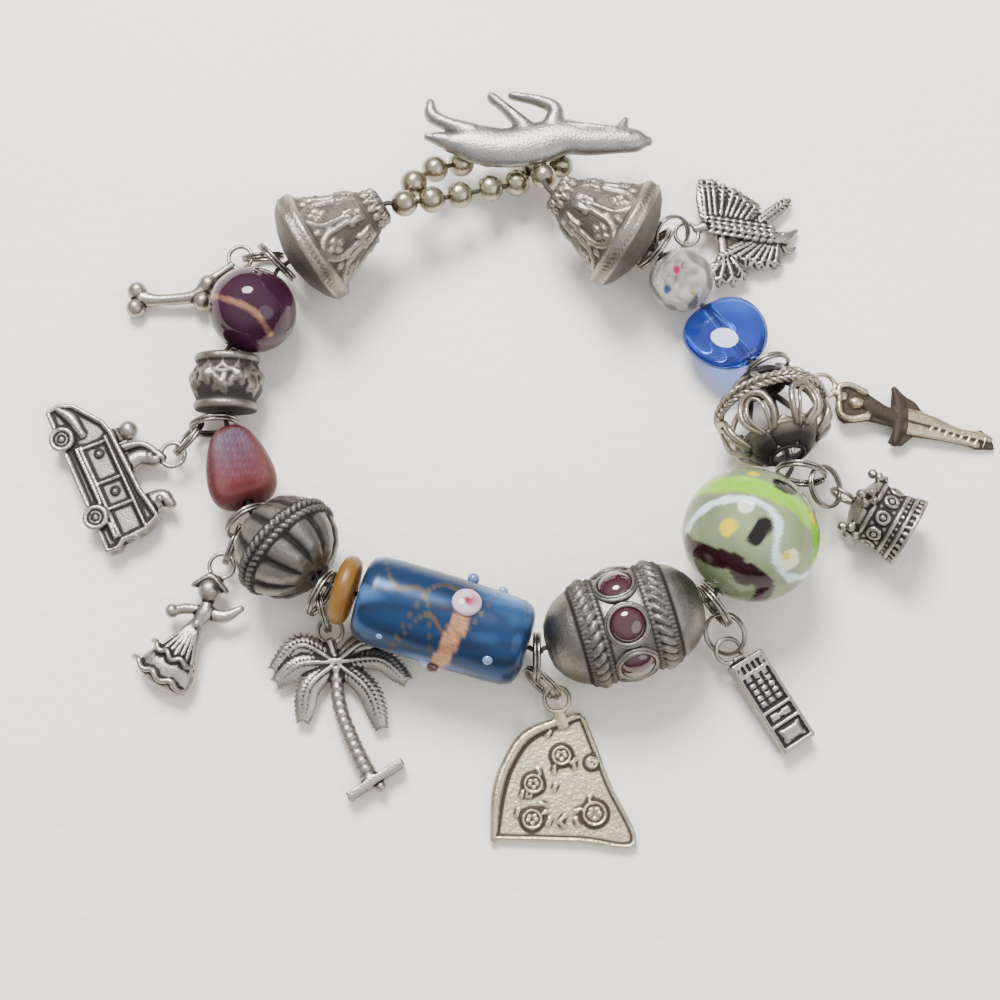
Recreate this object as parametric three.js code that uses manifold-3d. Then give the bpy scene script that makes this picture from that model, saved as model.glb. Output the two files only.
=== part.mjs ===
// A charm bracelet that lies on a surface: thirteen large beads on a beading cord between two cone ends,
// nine charms on pairs of jump rings, and a leaping animal toggle that lies on a loop of small beads.
// Millimetres, +Z up. The surface is Z = 0, and the string runs clockwise seen from above.
import * as THREE from "three";
import { mergeVertices } from "three/addons/utils/BufferGeometryUtils.js";
import Module from "manifold-3d";

const wasm = await Module();
wasm.setup();

// Cord, clearances and jump rings
const CORD_D = 0.9;
const BORE_D = 1.8;
const BEAD_GAP = 0.35;
const RING_GAP = 0.7;
const WIDE_GAP = 0.4;
const LINK_GAP = 0.25;
const WIRE_D = 0.7;
const RING_SIDES = 10;
const CORD_RING_D = 7.6;
const LINK_RING_D = 6.7;
const CORD_RING_THICKNESS = 1.1;
const LINK_RING_THICKNESS = 1;
const EYE_D = 4.3;
const EYE_WIRE_D = 0.7;
const EYE_HOLE_D = 2.8;

// Cone ends: the tip, the open body, the rope band at the rim and the domed base plate
const CONE_LENGTH = 13.2;
const CONE_RIM_D = 18;
const CONE_TIP_D = 5.6;
const CONE_DOME = 3.2;
const CONE_LEAN = 12;
const CONE_RELIEF = 0.45;

// Glass beads
const FOIL_D = 9.8;
const DROP_LENGTH = 12.4;
const DROP_WIDTH = 12.6;
const DROP_THICKNESS = 4.6;
const LAMP_D = 20;
const LAMP_LENGTH = 19;
const BARREL_LENGTH = 25;
const BARREL_D = 13.2;
const BARREL_DOT_D = 2.2;
const DISC_D = 10.3;
const DISC_THICKNESS = 3.3;
const RED_LENGTH = 13.4;
const RED_WIDTH = 12.2;
const RED_NARROW = 7.2;
const RED_THICKNESS = 8;
const PURPLE_D = 13.4;
const PURPLE_LENGTH = 12.8;

// Silver beads
const OPEN_LENGTH = 14.3;
const OPEN_D = 17.4;
const OPEN_WIRE_D = 1;
const OPEN_COLLAR_D = 8;
const OPEN_CUP_D = 12;
const GARNET_BEAD_LENGTH = 23;
const GARNET_BEAD_D = 15;
const GARNET_BAND = 0.9;
const GARNET_D = 5.7;
const GARNET_BEZEL = 0.35;
const GARNET_RISE = 1.5;
const FLUTED_LENGTH = 12.8;
const FLUTED_D = 16.4;
const FLUTED_ROPE = 0.8;
const FLORAL_LENGTH = 9;
const FLORAL_D = 11;
const FLORAL_RELIEF = 0.4;

// Toggle and its loop of small beads
const CLASP_SPAN = 25.4;
const REST_GAP = 0.02;
const LINK_SLACK = 1.4;
const EYE_ABOVE_LINK = 0.6;
const TOGGLE_HEIGHT = 7.15;
const CLASP_INSET = 1;
const LOOP_BEAD_D = 4.1;
const SHANK_BEAD_D = 3.8;
const THREAD_D = 0.8;
const THREAD_INSET = 0.7;
const TOGGLE_THICKNESS = 3.8;

// Charms: thicknesses
const PIZZA_THICKNESS = 1.5;
const PIZZA_DROP = 1.15;
const PHONE_LENGTH = 14.4;
const PHONE_WIDTH = 5.4;
const PHONE_THICKNESS = 3;
const PHONE_START = 2.1;
const CROWN_D = 10.6;
const CROWN_HEIGHT = 9.2;
const CROWN_WALL = 0.8;
const DANCER_THICKNESS = 1.5;
const CAR_THICKNESS = 3;
const WHEEL_D = 4;

const PIZZA_LIFT = PIZZA_DROP + PIZZA_THICKNESS / 2 + REST_GAP;
const SIDES = 16;
const MERGE_LENGTH = 0.08;
const DEGREE = Math.PI / 180;
const UP = new THREE.Vector3(0, 0, 1);
const vec = (x, y, z = 0) => new THREE.Vector3(x, y, z);

const silver = new THREE.MeshStandardMaterial({ color: 0x9a958c, roughness: 0.35, metalness: 1 });
const darkSilver = new THREE.MeshStandardMaterial({ color: 0x6e6a64, roughness: 0.45, metalness: 1 });
const glass = (color) => new THREE.MeshStandardMaterial({ color, roughness: 0.08, metalness: 0 });
const cordMaterial = new THREE.MeshStandardMaterial({ color: 0x4a4844, roughness: 0.7, metalness: 0 });

// A closed geometry as a manifold solid, and back
function solidOf(geometry) {
  const bare = geometry.index ? geometry.toNonIndexed() : geometry.clone();
  bare.deleteAttribute("normal");
  bare.deleteAttribute("uv");
  const merged = mergeVertices(bare, 1e-4);
  const vertProperties = merged.attributes.position.array;
  const triVerts = new Uint32Array(merged.index.array);
  return new wasm.Manifold(new wasm.Mesh({ numProp: 3, vertProperties, triVerts }));
}

function geometryOf(solid) {
  const mesh = solid.getMesh();
  const count = mesh.vertProperties.length / mesh.numProp;
  const positions = new Float32Array(count * 3);
  for (let i = 0; i < count; i++) {
    positions.set(mesh.vertProperties.subarray(i * mesh.numProp, i * mesh.numProp + 3), i * 3);
  }
  const geometry = new THREE.BufferGeometry();
  geometry.setAttribute("position", new THREE.BufferAttribute(positions, 3));
  geometry.setIndex(new THREE.BufferAttribute(mesh.triVerts, 1));
  return geometry;
}

function join(geometries) {
  return geometryOf(geometries.map(solidOf).reduce((sum, next) => sum.add(next)).simplify(MERGE_LENGTH));
}

function cut(geometry, tools) {
  return geometryOf(tools.map(solidOf).reduce((rest, tool) => rest.subtract(tool), solidOf(geometry)).simplify(MERGE_LENGTH));
}

// A profile of [radius, along] pairs turned round the local Z axis
function turned(profile, sides = SIDES) {
  const points = profile.map(([r, along]) => new THREE.Vector2(r, along));
  return new THREE.LatheGeometry(points, sides).rotateX(Math.PI / 2);
}

// The same with a bore: the profile runs from one end of the bore to the other and closes along it
function bored(outer, sides = SIDES) {
  const bore = BORE_D / 2;
  const start = [bore, outer[0][1]];
  const end = [bore, outer[outer.length - 1][1]];
  return turned([start, ...outer, end, start], sides);
}

// The arc of a ball or ellipse of the given radius and half length, cut off where it meets its bore
function ballProfile(radius, halfLength, rows) {
  const first = Math.asin(BORE_D / 2 / radius);
  const points = [];
  for (let i = 1; i < rows; i++) {
    const turn = first + ((Math.PI - 2 * first) * i) / rows;
    points.push([radius * Math.sin(turn), (-halfLength * Math.cos(turn)) / Math.cos(first)]);
  }
  return [[BORE_D / 2 + 0.01, -halfLength], ...points, [BORE_D / 2 + 0.01, halfLength]];
}

// A wire of round section through the given points
class Polyline extends THREE.Curve {
  constructor(points) {
    super();
    this.points = points;
  }
  getPoint(t, target = new THREE.Vector3()) {
    const place = t * (this.points.length - 1);
    const index = Math.min(Math.floor(place), this.points.length - 2);
    return target.lerpVectors(this.points[index], this.points[index + 1], place - index);
  }
  getPointAt(u, target) {
    return this.getPoint(u, target);
  }
}

function wire(points, diameter, sides = 5) {
  const section = new THREE.Shape();
  for (let i = 0; i < sides; i++) {
    const turn = (i / sides) * 2 * Math.PI;
    section[i ? "lineTo" : "moveTo"]((diameter / 2) * Math.cos(turn), (diameter / 2) * Math.sin(turn));
  }
  const extrudePath = new Polyline(points);
  return new THREE.ExtrudeGeometry(section, { steps: points.length - 1, extrudePath });
}

// A limb, leaf or feather lying in the XY plane: rows of [x, y, half width, half height, height of its middle]
function limb(rows, sides = 6) {
  const points = rows.map(([x, y, , , z = 0]) => vec(x, y, z));
  const positions = [];
  rows.forEach(([, , halfWidth, halfHeight], i) => {
    const before = points[Math.max(i - 1, 0)];
    const after = points[Math.min(i + 1, rows.length - 1)];
    const across = after.clone().sub(before).setZ(0).normalize().cross(UP);
    for (let k = 0; k < sides; k++) {
      const turn = ((k + 0.5) / sides) * 2 * Math.PI;
      const p = points[i].clone().addScaledVector(across, halfWidth * Math.cos(turn));
      positions.push(p.x, p.y, p.z + halfHeight * Math.sin(turn));
    }
  });
  const last = (rows.length - 1) * sides;
  const index = [];
  for (let i = 0; i < rows.length - 1; i++) {
    for (let k = 0; k < sides; k++) {
      const a = i * sides + k;
      const b = i * sides + ((k + 1) % sides);
      index.push(a, a + sides, b, b, a + sides, b + sides);
    }
  }
  for (let k = 1; k < sides - 1; k++) {
    index.push(0, k, k + 1, last, last + k + 1, last + k);
  }
  const geometry = new THREE.BufferGeometry();
  geometry.setAttribute("position", new THREE.BufferAttribute(new Float32Array(positions), 3));
  geometry.setIndex(index);
  return geometry;
}

// An outline extruded to a plate whose middle lies in the XY plane
function plate(outline, thickness) {
  const shape = new THREE.Shape(outline.map(([x, y]) => new THREE.Vector2(x, y)));
  return new THREE.ExtrudeGeometry(shape, { depth: thickness, bevelEnabled: false }).translate(0, 0, -thickness / 2);
}

function ball(x, y, z, radius, widthSegments = 8, heightSegments = 5) {
  return new THREE.SphereGeometry(radius, widthSegments, heightSegments).rotateX(Math.PI / 2).translate(x, y, z);
}

function box(x, y, z, width, depth, height, turn = 0) {
  return new THREE.BoxGeometry(width, depth, height).rotateZ(turn).translate(x, y, z);
}

const eyeRadius = (EYE_D - EYE_WIRE_D) / 2;
const cordRingRadius = (CORD_RING_D - WIRE_D) / 2;
const ringStation = CORD_RING_THICKNESS + 2 * RING_GAP;

function eye() {
  return new THREE.TorusGeometry(eyeRadius, EYE_WIRE_D / 2, 5, 10);
}

// A split ring: two turns of wire side by side, as one six-sided section round local Z
function splitRing(radius, thickness) {
  const half = WIRE_D / 2;
  const flat = thickness / 4;
  const section = [
    [radius - half, -flat],
    [radius, -thickness / 2],
    [radius + half, -flat],
    [radius + half, flat],
    [radius, thickness / 2],
    [radius - half, flat],
    [radius - half, -flat],
  ];
  return turned(section, RING_SIDES);
}

// Beads. Each lies along local Z, centred, with local X outward and local Y up.

// A point on the cone's wall, by turn round the axis and distance from the tip
const coneWall = (along) => {
  const share = Math.pow(along / CONE_LENGTH, 1.15);
  return CONE_TIP_D / 2 + ((CONE_RIM_D - CONE_TIP_D) / 2) * 0.93 * share;
};
const coneTotal = CONE_LENGTH + CONE_DOME;

function coneBead(tipFirst) {
  const rim = CONE_RIM_D / 2;
  const bandStart = 0.83 * CONE_LENGTH;
  const onWall = (turn, along, lift) => {
    const r = coneWall(along) + lift;
    return vec(r * Math.cos(turn), r * Math.sin(turn), along);
  };
  const profile = [
    [0.82 * CONE_TIP_D / 2, 0],
    [1.18 * CONE_TIP_D / 2, 0.1 * CONE_LENGTH],
    [coneWall(0.18 * CONE_LENGTH), 0.18 * CONE_LENGTH],
    [coneWall(0.5 * CONE_LENGTH), 0.5 * CONE_LENGTH],
    [coneWall(bandStart), bandStart],
    [0.96 * rim, 0.86 * CONE_LENGTH],
    [rim, 0.93 * CONE_LENGTH],
    [rim, CONE_LENGTH],
    [0.93 * rim, CONE_LENGTH + 0.12 * CONE_DOME],
    [0.78 * rim, CONE_LENGTH + 0.5 * CONE_DOME],
    [0.48 * rim, CONE_LENGTH + 0.82 * CONE_DOME],
    [0.2 * rim, coneTotal],
  ];
  const pieces = [bored(profile)];
  const scrolls = 6;
  for (let i = 0; i < scrolls; i++) {
    const middle = (i / scrolls) * 2 * Math.PI;
    const half = (0.8 * Math.PI) / scrolls;
    const path = [
      [-half, 0.6],
      [-0.75 * half, 0.77],
      [0, 0.81],
      [0.75 * half, 0.77],
      [half, 0.6],
    ];
    const scroll = path.map(([turn, share]) => onWall(middle + turn, share * CONE_LENGTH, 0.1));
    pieces.push(wire(scroll, 2 * CONE_RELIEF, 4));
  }
  const plates = 6;
  for (let i = 0; i < plates; i++) {
    const turn = ((i + 0.5) / plates) * 2 * Math.PI;
    const at = onWall(turn, 0.36 * CONE_LENGTH, 0);
    const plateSize = 4.2 * CONE_RELIEF;
    pieces.push(new THREE.BoxGeometry(3 * CONE_RELIEF, plateSize, plateSize).rotateZ(turn).translate(at.x, at.y, at.z));
  }
  const cone = join(pieces).translate(0, 0, -coneTotal / 2);
  return tipFirst ? cone : cone.rotateX(Math.PI);
}

function foilBead() {
  return bored(ballProfile(FOIL_D / 2, 0.48 * FOIL_D, 7), 14);
}

// A closed pebble: half width, half height and rounding given along its length, with its bore cut through
function pebble(length, sizeAt, rows = 7, sides = 14) {
  const geometry = new THREE.SphereGeometry(1, sides, rows).rotateX(Math.PI / 2);
  const position = geometry.attributes.position;
  for (let i = 0; i < position.count; i++) {
    const along = position.getZ(i);
    const [halfWidth, halfHeight, fullness] = sizeAt(along);
    const flat = Math.hypot(position.getX(i), position.getY(i)) || 1;
    const spread = Math.pow(flat, fullness) / flat;
    position.setXYZ(i, position.getX(i) * spread * halfWidth, position.getY(i) * spread * halfHeight, (along * length) / 2);
  }
  const drill = new THREE.CylinderGeometry(BORE_D / 2, BORE_D / 2, 2 * length, 8).rotateX(Math.PI / 2);
  return cut(geometry, [drill]);
}

function blueDrop() {
  return pebble(DROP_LENGTH, (along) => [(DROP_WIDTH / 2) * (1 - 0.1 * along), DROP_THICKNESS / 2, 0.8]);
}

function redBead() {
  const narrow = RED_NARROW / RED_WIDTH;
  return pebble(RED_LENGTH, (along) => {
    const share = THREE.MathUtils.lerp(1, narrow, (along + 1) / 2);
    return [(RED_WIDTH / 2) * share, (RED_THICKNESS / 2) * (0.4 + 0.6 * share), 0.55];
  });
}

function lampworkBead() {
  return bored(ballProfile(LAMP_D / 2, LAMP_LENGTH / 2, 10));
}

function purpleBead() {
  return bored(ballProfile(PURPLE_D / 2, PURPLE_LENGTH / 2, 8));
}

function amberDisc() {
  const r = DISC_D / 2;
  const h = DISC_THICKNESS / 2;
  const profile = [
    [0.45 * r, -h],
    [0.82 * r, -0.85 * h],
    [r, -0.3 * h],
    [r, 0.3 * h],
    [0.82 * r, 0.85 * h],
    [0.45 * r, h],
  ];
  return bored(profile);
}

// The long blue bead, with raised glass dots round its middle
function barrelBead() {
  const r = BARREL_D / 2;
  const h = BARREL_LENGTH / 2;
  const profile = [
    [0.5 * r, -h],
    [0.84 * r, -0.93 * h],
    [0.97 * r, -0.78 * h],
    [r, 0],
    [0.97 * r, 0.8 * h],
    [0.84 * r, 0.94 * h],
    [0.5 * r, h],
  ];
  const dots = [
    [80, 0.14],
    [150, 0.2],
    [20, 0.0],
    [350, -0.22],
    [250, 0.1],
  ].map(([turn, share]) => {
    const x = r * Math.cos(turn * DEGREE);
    const y = r * Math.sin(turn * DEGREE);
    return ball(x, y, share * h, BARREL_DOT_D / 2, 6, 4);
  });
  return join([bored(profile), ...dots]);
}

// Wire petals above and below a double rope band, between a collar and a cup
function openworkBead() {
  const start = -OPEN_LENGTH / 2;
  const collar = OPEN_COLLAR_D / 2;
  const band = OPEN_D / 2;
  const bandAt = start + 0.38 * OPEN_LENGTH;
  const cup = OPEN_CUP_D / 2;
  const w = OPEN_WIRE_D / 2;
  const bore = BORE_D / 2;
  const ropeBand = turned(
    [
      [band - 2 * w, bandAt - w],
      [band - 0.6 * w, bandAt - 2 * w],
      [band, bandAt],
      [band - 0.6 * w, bandAt + 2 * w],
      [band - 2 * w, bandAt + w],
      [band - 2 * w, bandAt - w],
    ],
    SIDES,
  );
  const topCollar = turned(
    [
      [bore, start],
      [0.6 * collar, start],
      [collar, start + 1.2 * w],
      [collar, start + 2.4 * w],
      [bore, start + 2.4 * w],
      [bore, start],
    ],
    12,
  );
  const bottomCup = turned(
    [
      [bore, -start],
      [bore, -start - 1.4 * w],
      [0.6 * cup, -start - 2.6 * w],
      [cup - 1.2 * w, -start - 6 * w],
      [cup, -start - 6 * w],
      [0.8 * cup, -start - 2.6 * w],
      [0.4 * cup, -start],
      [bore, -start],
    ],
    SIDES,
  );
  const pieces = [ropeBand, topCollar, bottomCup];
  const petals = 6;
  for (let i = 0; i < petals; i++) {
    const middle = (i / petals) * 2 * Math.PI;
    const half = (0.62 * Math.PI) / petals;
    const on = ([turn, r, along]) => vec(r * Math.cos(middle + turn), r * Math.sin(middle + turn), along);
    const lower = [
      [-0.6 * half, cup - w, -start - 4.6 * w],
      [-half, 0.5 * (cup + band) + w, bandAt + 0.5 * (-start - bandAt)],
      [0, band - 1.1 * w, bandAt + 1.8 * w],
      [half, 0.5 * (cup + band) + w, bandAt + 0.5 * (-start - bandAt)],
      [0.6 * half, cup - w, -start - 4.6 * w],
    ];
    const upper = [
      [-0.9 * half, band - 1.3 * w, bandAt],
      [0, collar - w, start + 2 * w],
      [0.9 * half, band - 1.3 * w, bandAt],
    ];
    pieces.push(wire(lower.map(on), OPEN_WIRE_D, 4), wire(upper.map(on), OPEN_WIRE_D, 4));
  }
  return join(pieces);
}

// A domed barrel with rope bands and bezel-set garnets round its belly
function garnetBead() {
  const r = GARNET_BEAD_D / 2;
  const h = GARNET_BEAD_LENGTH / 2;
  const bandAt = 0.42 * h;
  const side = [
    [0.16 * r, h],
    [0.42 * r, 0.96 * h],
    [0.74 * r, 0.8 * h],
    [0.94 * r, 0.62 * h],
    [r + 0.6 * GARNET_BAND, bandAt + 0.9 * GARNET_BAND],
    [r + GARNET_BAND, bandAt],
    [r + 0.7 * GARNET_BAND, bandAt - 1.1 * GARNET_BAND],
    [0.98 * r, bandAt - 1.4 * GARNET_BAND],
    [0.98 * r, 0],
  ];
  const mirrored = side.slice(0, -1).map(([radius, along]) => [radius, -along]);
  const pieces = [bored([...mirrored, ...side.slice().reverse()])];
  const stones = 7;
  const bezel = GARNET_D / 2 + GARNET_BEZEL;
  const stone = [
    [0, -1.2 * GARNET_RISE],
    [bezel, -1.2 * GARNET_RISE],
    [bezel, 0.35 * GARNET_RISE],
    [0.7 * (GARNET_D / 2), 0.85 * GARNET_RISE],
    [0, GARNET_RISE],
  ];
  for (let i = 0; i < stones; i++) {
    const turn = ((i + 0.5) / stones) * 2 * Math.PI;
    pieces.push(turned(stone, 8).translate(0, 0, r).rotateY(Math.PI / 2).rotateZ(turn));
  }
  return join(pieces);
}

// A melon bead with two ropes round its middle
function flutedBead() {
  const r = FLUTED_D / 2;
  const h = FLUTED_LENGTH / 2;
  const lobes = 10;
  const profile = [
    [0.3 * r, -h],
    [0.62 * r, -0.86 * h],
    [0.88 * r, -0.5 * h],
    [r, 0],
    [0.88 * r, 0.5 * h],
    [0.62 * r, 0.86 * h],
    [0.3 * r, h],
  ];
  const melon = bored(profile, 2 * lobes);
  const position = melon.attributes.position;
  for (let i = 0; i < position.count; i++) {
    const x = position.getX(i);
    const y = position.getY(i);
    const deep = Math.hypot(x, y) > 0.5 * r ? 0.035 : 0;
    const groove = 1 - deep * (1 - Math.cos(lobes * Math.atan2(y, x)));
    position.setXYZ(i, x * groove, y * groove, position.getZ(i));
  }
  const ropes = turned(
    [
      [0.9 * r, -1.6 * FLUTED_ROPE],
      [r + 0.75 * FLUTED_ROPE, -1.3 * FLUTED_ROPE],
      [r + FLUTED_ROPE, -0.6 * FLUTED_ROPE],
      [r + 0.5 * FLUTED_ROPE, 0],
      [r + FLUTED_ROPE, 0.6 * FLUTED_ROPE],
      [r + 0.75 * FLUTED_ROPE, 1.3 * FLUTED_ROPE],
      [0.9 * r, 1.6 * FLUTED_ROPE],
      [0.9 * r, -1.6 * FLUTED_ROPE],
    ],
    SIDES,
  );
  return join([melon, ropes]);
}

// A short bead with rims, raised flowers and swags
function floralBead() {
  const r = FLORAL_D / 2;
  const h = FLORAL_LENGTH / 2;
  const profile = [
    [0.6 * r, -h],
    [0.88 * r, -0.94 * h],
    [0.9 * r, -0.72 * h],
    [0.84 * r, -0.66 * h],
    [0.96 * r, 0],
    [0.84 * r, 0.66 * h],
    [0.9 * r, 0.72 * h],
    [0.88 * r, 0.94 * h],
    [0.6 * r, h],
  ];
  const pieces = [bored(profile, 14)];
  const flowers = 6;
  for (let i = 0; i < flowers; i++) {
    const turn = (i / flowers) * 2 * Math.PI;
    const flower = new THREE.CylinderGeometry(2.6 * FLORAL_RELIEF, 3.6 * FLORAL_RELIEF, 4 * FLORAL_RELIEF, 5);
    pieces.push(flower.rotateZ(-Math.PI / 2).translate(0.96 * r - FLORAL_RELIEF, 0, (i % 2 ? 0.2 : -0.2) * h).rotateZ(turn));
  }
  return join(pieces);
}

// The string: each row is a stiff piece of it, in order, and lists the beads in it with their lengths. after is
// the length of cord before the next piece, where ringStation leaves room for a jump ring, and lean is a pitch
// of the piece's own.
const string = [
  { beads: [["cone_right", coneBead(true), coneTotal, darkSilver]], lean: -CONE_LEAN, after: ringStation },
  { beads: [["foil_bead", foilBead(), 0.96 * FOIL_D, glass(0xe8e4dc)]], after: BEAD_GAP + WIDE_GAP },
  { beads: [["blue_drop", blueDrop(), DROP_LENGTH, glass(0x2a4fc4)]], after: ringStation + WIDE_GAP },
  { beads: [["openwork_bead", openworkBead(), OPEN_LENGTH, silver]], after: ringStation + 2 * WIDE_GAP },
  { beads: [["lampwork_bead", lampworkBead(), LAMP_LENGTH, glass(0xa9bd86)]], after: ringStation },
  { beads: [["garnet_bead", garnetBead(), GARNET_BEAD_LENGTH, darkSilver]], after: ringStation },
  {
    beads: [
      ["blue_barrel", barrelBead(), BARREL_LENGTH, glass(0x35567f)],
      ["amber_disc", amberDisc(), DISC_THICKNESS, glass(0xa87a34)],
    ],
    after: ringStation + WIDE_GAP,
  },
  { beads: [["fluted_bead", flutedBead(), FLUTED_LENGTH, darkSilver]], after: ringStation },
  { beads: [["red_bead", redBead(), RED_LENGTH, glass(0x7c2136)]], after: ringStation },
  { beads: [["floral_bead", floralBead(), FLORAL_LENGTH, darkSilver]], after: 2 * BEAD_GAP + WIDE_GAP },
  { beads: [["purple_bead", purpleBead(), PURPLE_LENGTH, glass(0x3a2c33)]], after: ringStation + WIDE_GAP },
  { beads: [["cone_left", coneBead(false), coneTotal, darkSilver]], lean: CONE_LEAN, after: 0 },
];

// The plan of the string, clockwise from the right cone's tip: chosen points between the beads.
const ROUTE = [
  [7.7, 42.8],
  [22.4, 34.7],
  [29.6, 28],
  [35.6, 18.4],
  [39.8, 3],
  [29.1, -15.7],
  [6.5, -23],
  [-19.6, -16.6],
  [-33.7, -4.6],
  [-39, 12.6],
  [-38.3, 21.7],
  [-32, 31.6],
  [-17.6, 40.6],
];

// The height of a piece's middle at which its beads, pitched about their X axis, just rest on the surface
function restHeight(piece, pitch) {
  let low = Infinity;
  piece.beads.forEach(([, geometry]) => {
    const position = geometry.attributes.position;
    for (let i = 0; i < position.count; i++) {
      low = Math.min(low, position.getY(i) * Math.cos(pitch) + position.getZ(i) * Math.sin(pitch));
    }
  });
  return REST_GAP - low;
}

// Pitch and height of every piece. The cord is level from one piece to the next, so both its neighbours share
// an end's height, and pieces that would sink into the surface lift their ends until none does.
function layHeights() {
  string.forEach((piece) => {
    piece.length = piece.beads.reduce((sum, [, , length]) => sum + length, 0) + (piece.beads.length - 1) * BEAD_GAP;
    let at = -piece.length / 2;
    piece.beads.forEach(([, geometry, length]) => {
      geometry.translate(0, 0, at + length / 2);
      at += length + BEAD_GAP;
    });
  });
  const last = string.length - 1;
  const lie = string.map((piece) => restHeight(piece, 0));
  const ends = string.map((piece, i) => (i ? (lie[i - 1] + lie[i]) / 2 : lie[i]));
  [string[0], string[last]].forEach((piece) => {
    piece.pitch = piece.lean * DEGREE;
    piece.height = restHeight(piece, piece.pitch);
  });
  ends[1] = string[0].height + (Math.sin(string[0].pitch) * string[0].length) / 2;
  ends[last] = string[last].height - (Math.sin(string[last].pitch) * string[last].length) / 2;
  for (let pass = 0; pass < 200; pass++) {
    for (let i = 1; i < last; i++) {
      const piece = string[i];
      piece.pitch = Math.asin((ends[i + 1] - ends[i]) / piece.length);
      piece.height = (ends[i] + ends[i + 1]) / 2;
      const short = Math.max(0, restHeight(piece, piece.pitch) - piece.height);
      if (i > 1) ends[i] += short;
      if (i + 1 < last) ends[i + 1] += short;
    }
  }
  string.forEach((piece) => {
    piece.planLength = piece.length * Math.cos(piece.pitch);
  });
}

// Steps along the closed route by straight chords; the route is scaled until the last chord closes the loop
function layPlan() {
  const points = ROUTE.map(([x, y]) => vec(x, y));
  const curve = new THREE.CatmullRomCurve3(points, true, "centripetal");
  const samples = curve.getPoints(1200);
  const walk = (scale) => {
    let place = 0;
    let from = samples[0].clone().multiplyScalar(scale);
    const step = (length) => {
      const start = from.clone();
      let far = Math.ceil(place + 1e-9);
      while (far < samples.length && samples[far].clone().multiplyScalar(scale).distanceTo(start) < length) far++;
      if (far >= samples.length) return null;
      let low = Math.max(place, far - 1);
      let high = far;
      for (let i = 0; i < 30; i++) {
        const middle = (low + high) / 2;
        const index = Math.min(Math.floor(middle), samples.length - 2);
        const point = samples[index].clone().lerp(samples[index + 1], middle - index).multiplyScalar(scale);
        if (point.distanceTo(start) < length) low = middle;
        else high = middle;
        from = point;
      }
      place = high;
      return { start, end: from.clone() };
    };
    const spans = [];
    for (const piece of string) {
      const span = step(piece.planLength);
      if (!span) return null;
      spans.push(span);
      if (piece.after && !step(piece.after)) return null;
    }
    return { spans, rest: from.distanceTo(samples[0].clone().multiplyScalar(scale)), place };
  };
  let low = 0.5;
  let high = 2;
  for (let i = 0; i < 50; i++) {
    const scale = (low + high) / 2;
    const found = walk(scale);
    if (!found || (found.place > samples.length / 2 && found.rest < CLASP_SPAN)) low = scale;
    else high = scale;
  }
  walk(high).spans.forEach(({ start, end }, i) => {
    string[i].start = start;
    string[i].end = end;
  });
}

const group = new THREE.Group();

function add(name, geometry, material, matrix = new THREE.Matrix4()) {
  const mesh = new THREE.Mesh(geometry, material);
  mesh.name = name;
  matrix.decompose(mesh.position, mesh.quaternion, mesh.scale);
  group.add(mesh);
  return mesh;
}

// A frame whose Z runs along the string, X points out of the loop and Y points up
function stringFrame(direction, origin) {
  const out = UP.clone().cross(direction).normalize();
  const up = direction.clone().cross(out);
  return new THREE.Matrix4().makeBasis(out, up, direction).setPosition(origin);
}

layHeights();
layPlan();

string.forEach((piece) => {
  const lift = (Math.sin(piece.pitch) * piece.length) / 2;
  piece.start.z = piece.height - lift;
  piece.end.z = piece.height + lift;
  piece.direction = piece.end.clone().sub(piece.start).normalize();
  const frame = stringFrame(piece.direction, piece.start.clone().lerp(piece.end, 0.5));
  piece.beads.forEach(([name, geometry, , material]) => add(name, geometry, material, frame));
  piece.solids = piece.beads.map(([, geometry]) => solidOf(geometry.clone().applyMatrix4(frame)));
});

// The cord, straight inside each bead and bent only between them
const cordPoints = string.flatMap(({ start, end }) => [start.clone(), end.clone()]);
const cordInset = 1.2;
cordPoints[0].lerp(cordPoints[1], cordInset / coneTotal);
cordPoints[cordPoints.length - 1].lerp(cordPoints[cordPoints.length - 2], cordInset / coneTotal);
add("stringing_cord", wire(cordPoints, CORD_D, 6), cordMaterial);

// Charms. Each lies in its own XY plane as it is seen from above, with the middle of its eye at the origin.

function boneCharm() {
  const neck = limb([
    [-1.3, -1.2, 0.6, 0.6],
    [-5, -3.9, 0.9, 0.8],
  ]);
  const shaft = limb([
    [-4.8, -4.2, 1.5, 1.3],
    [-7, -6, 1.1, 1.1],
    [-12.2, -6.4, 0.95, 1],
    [-14.9, -6.1, 1.5, 1.3],
  ], 8);
  const knobs = [
    [-15.8, -4.9],
    [-15.9, -7.7],
    [-4.7, -4],
    [-5.6, -6.9],
  ].map(([x, y]) => ball(x, y, 0, 1.55, 8, 5));
  return join([eye(), neck, shaft, ...knobs]);
}

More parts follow.
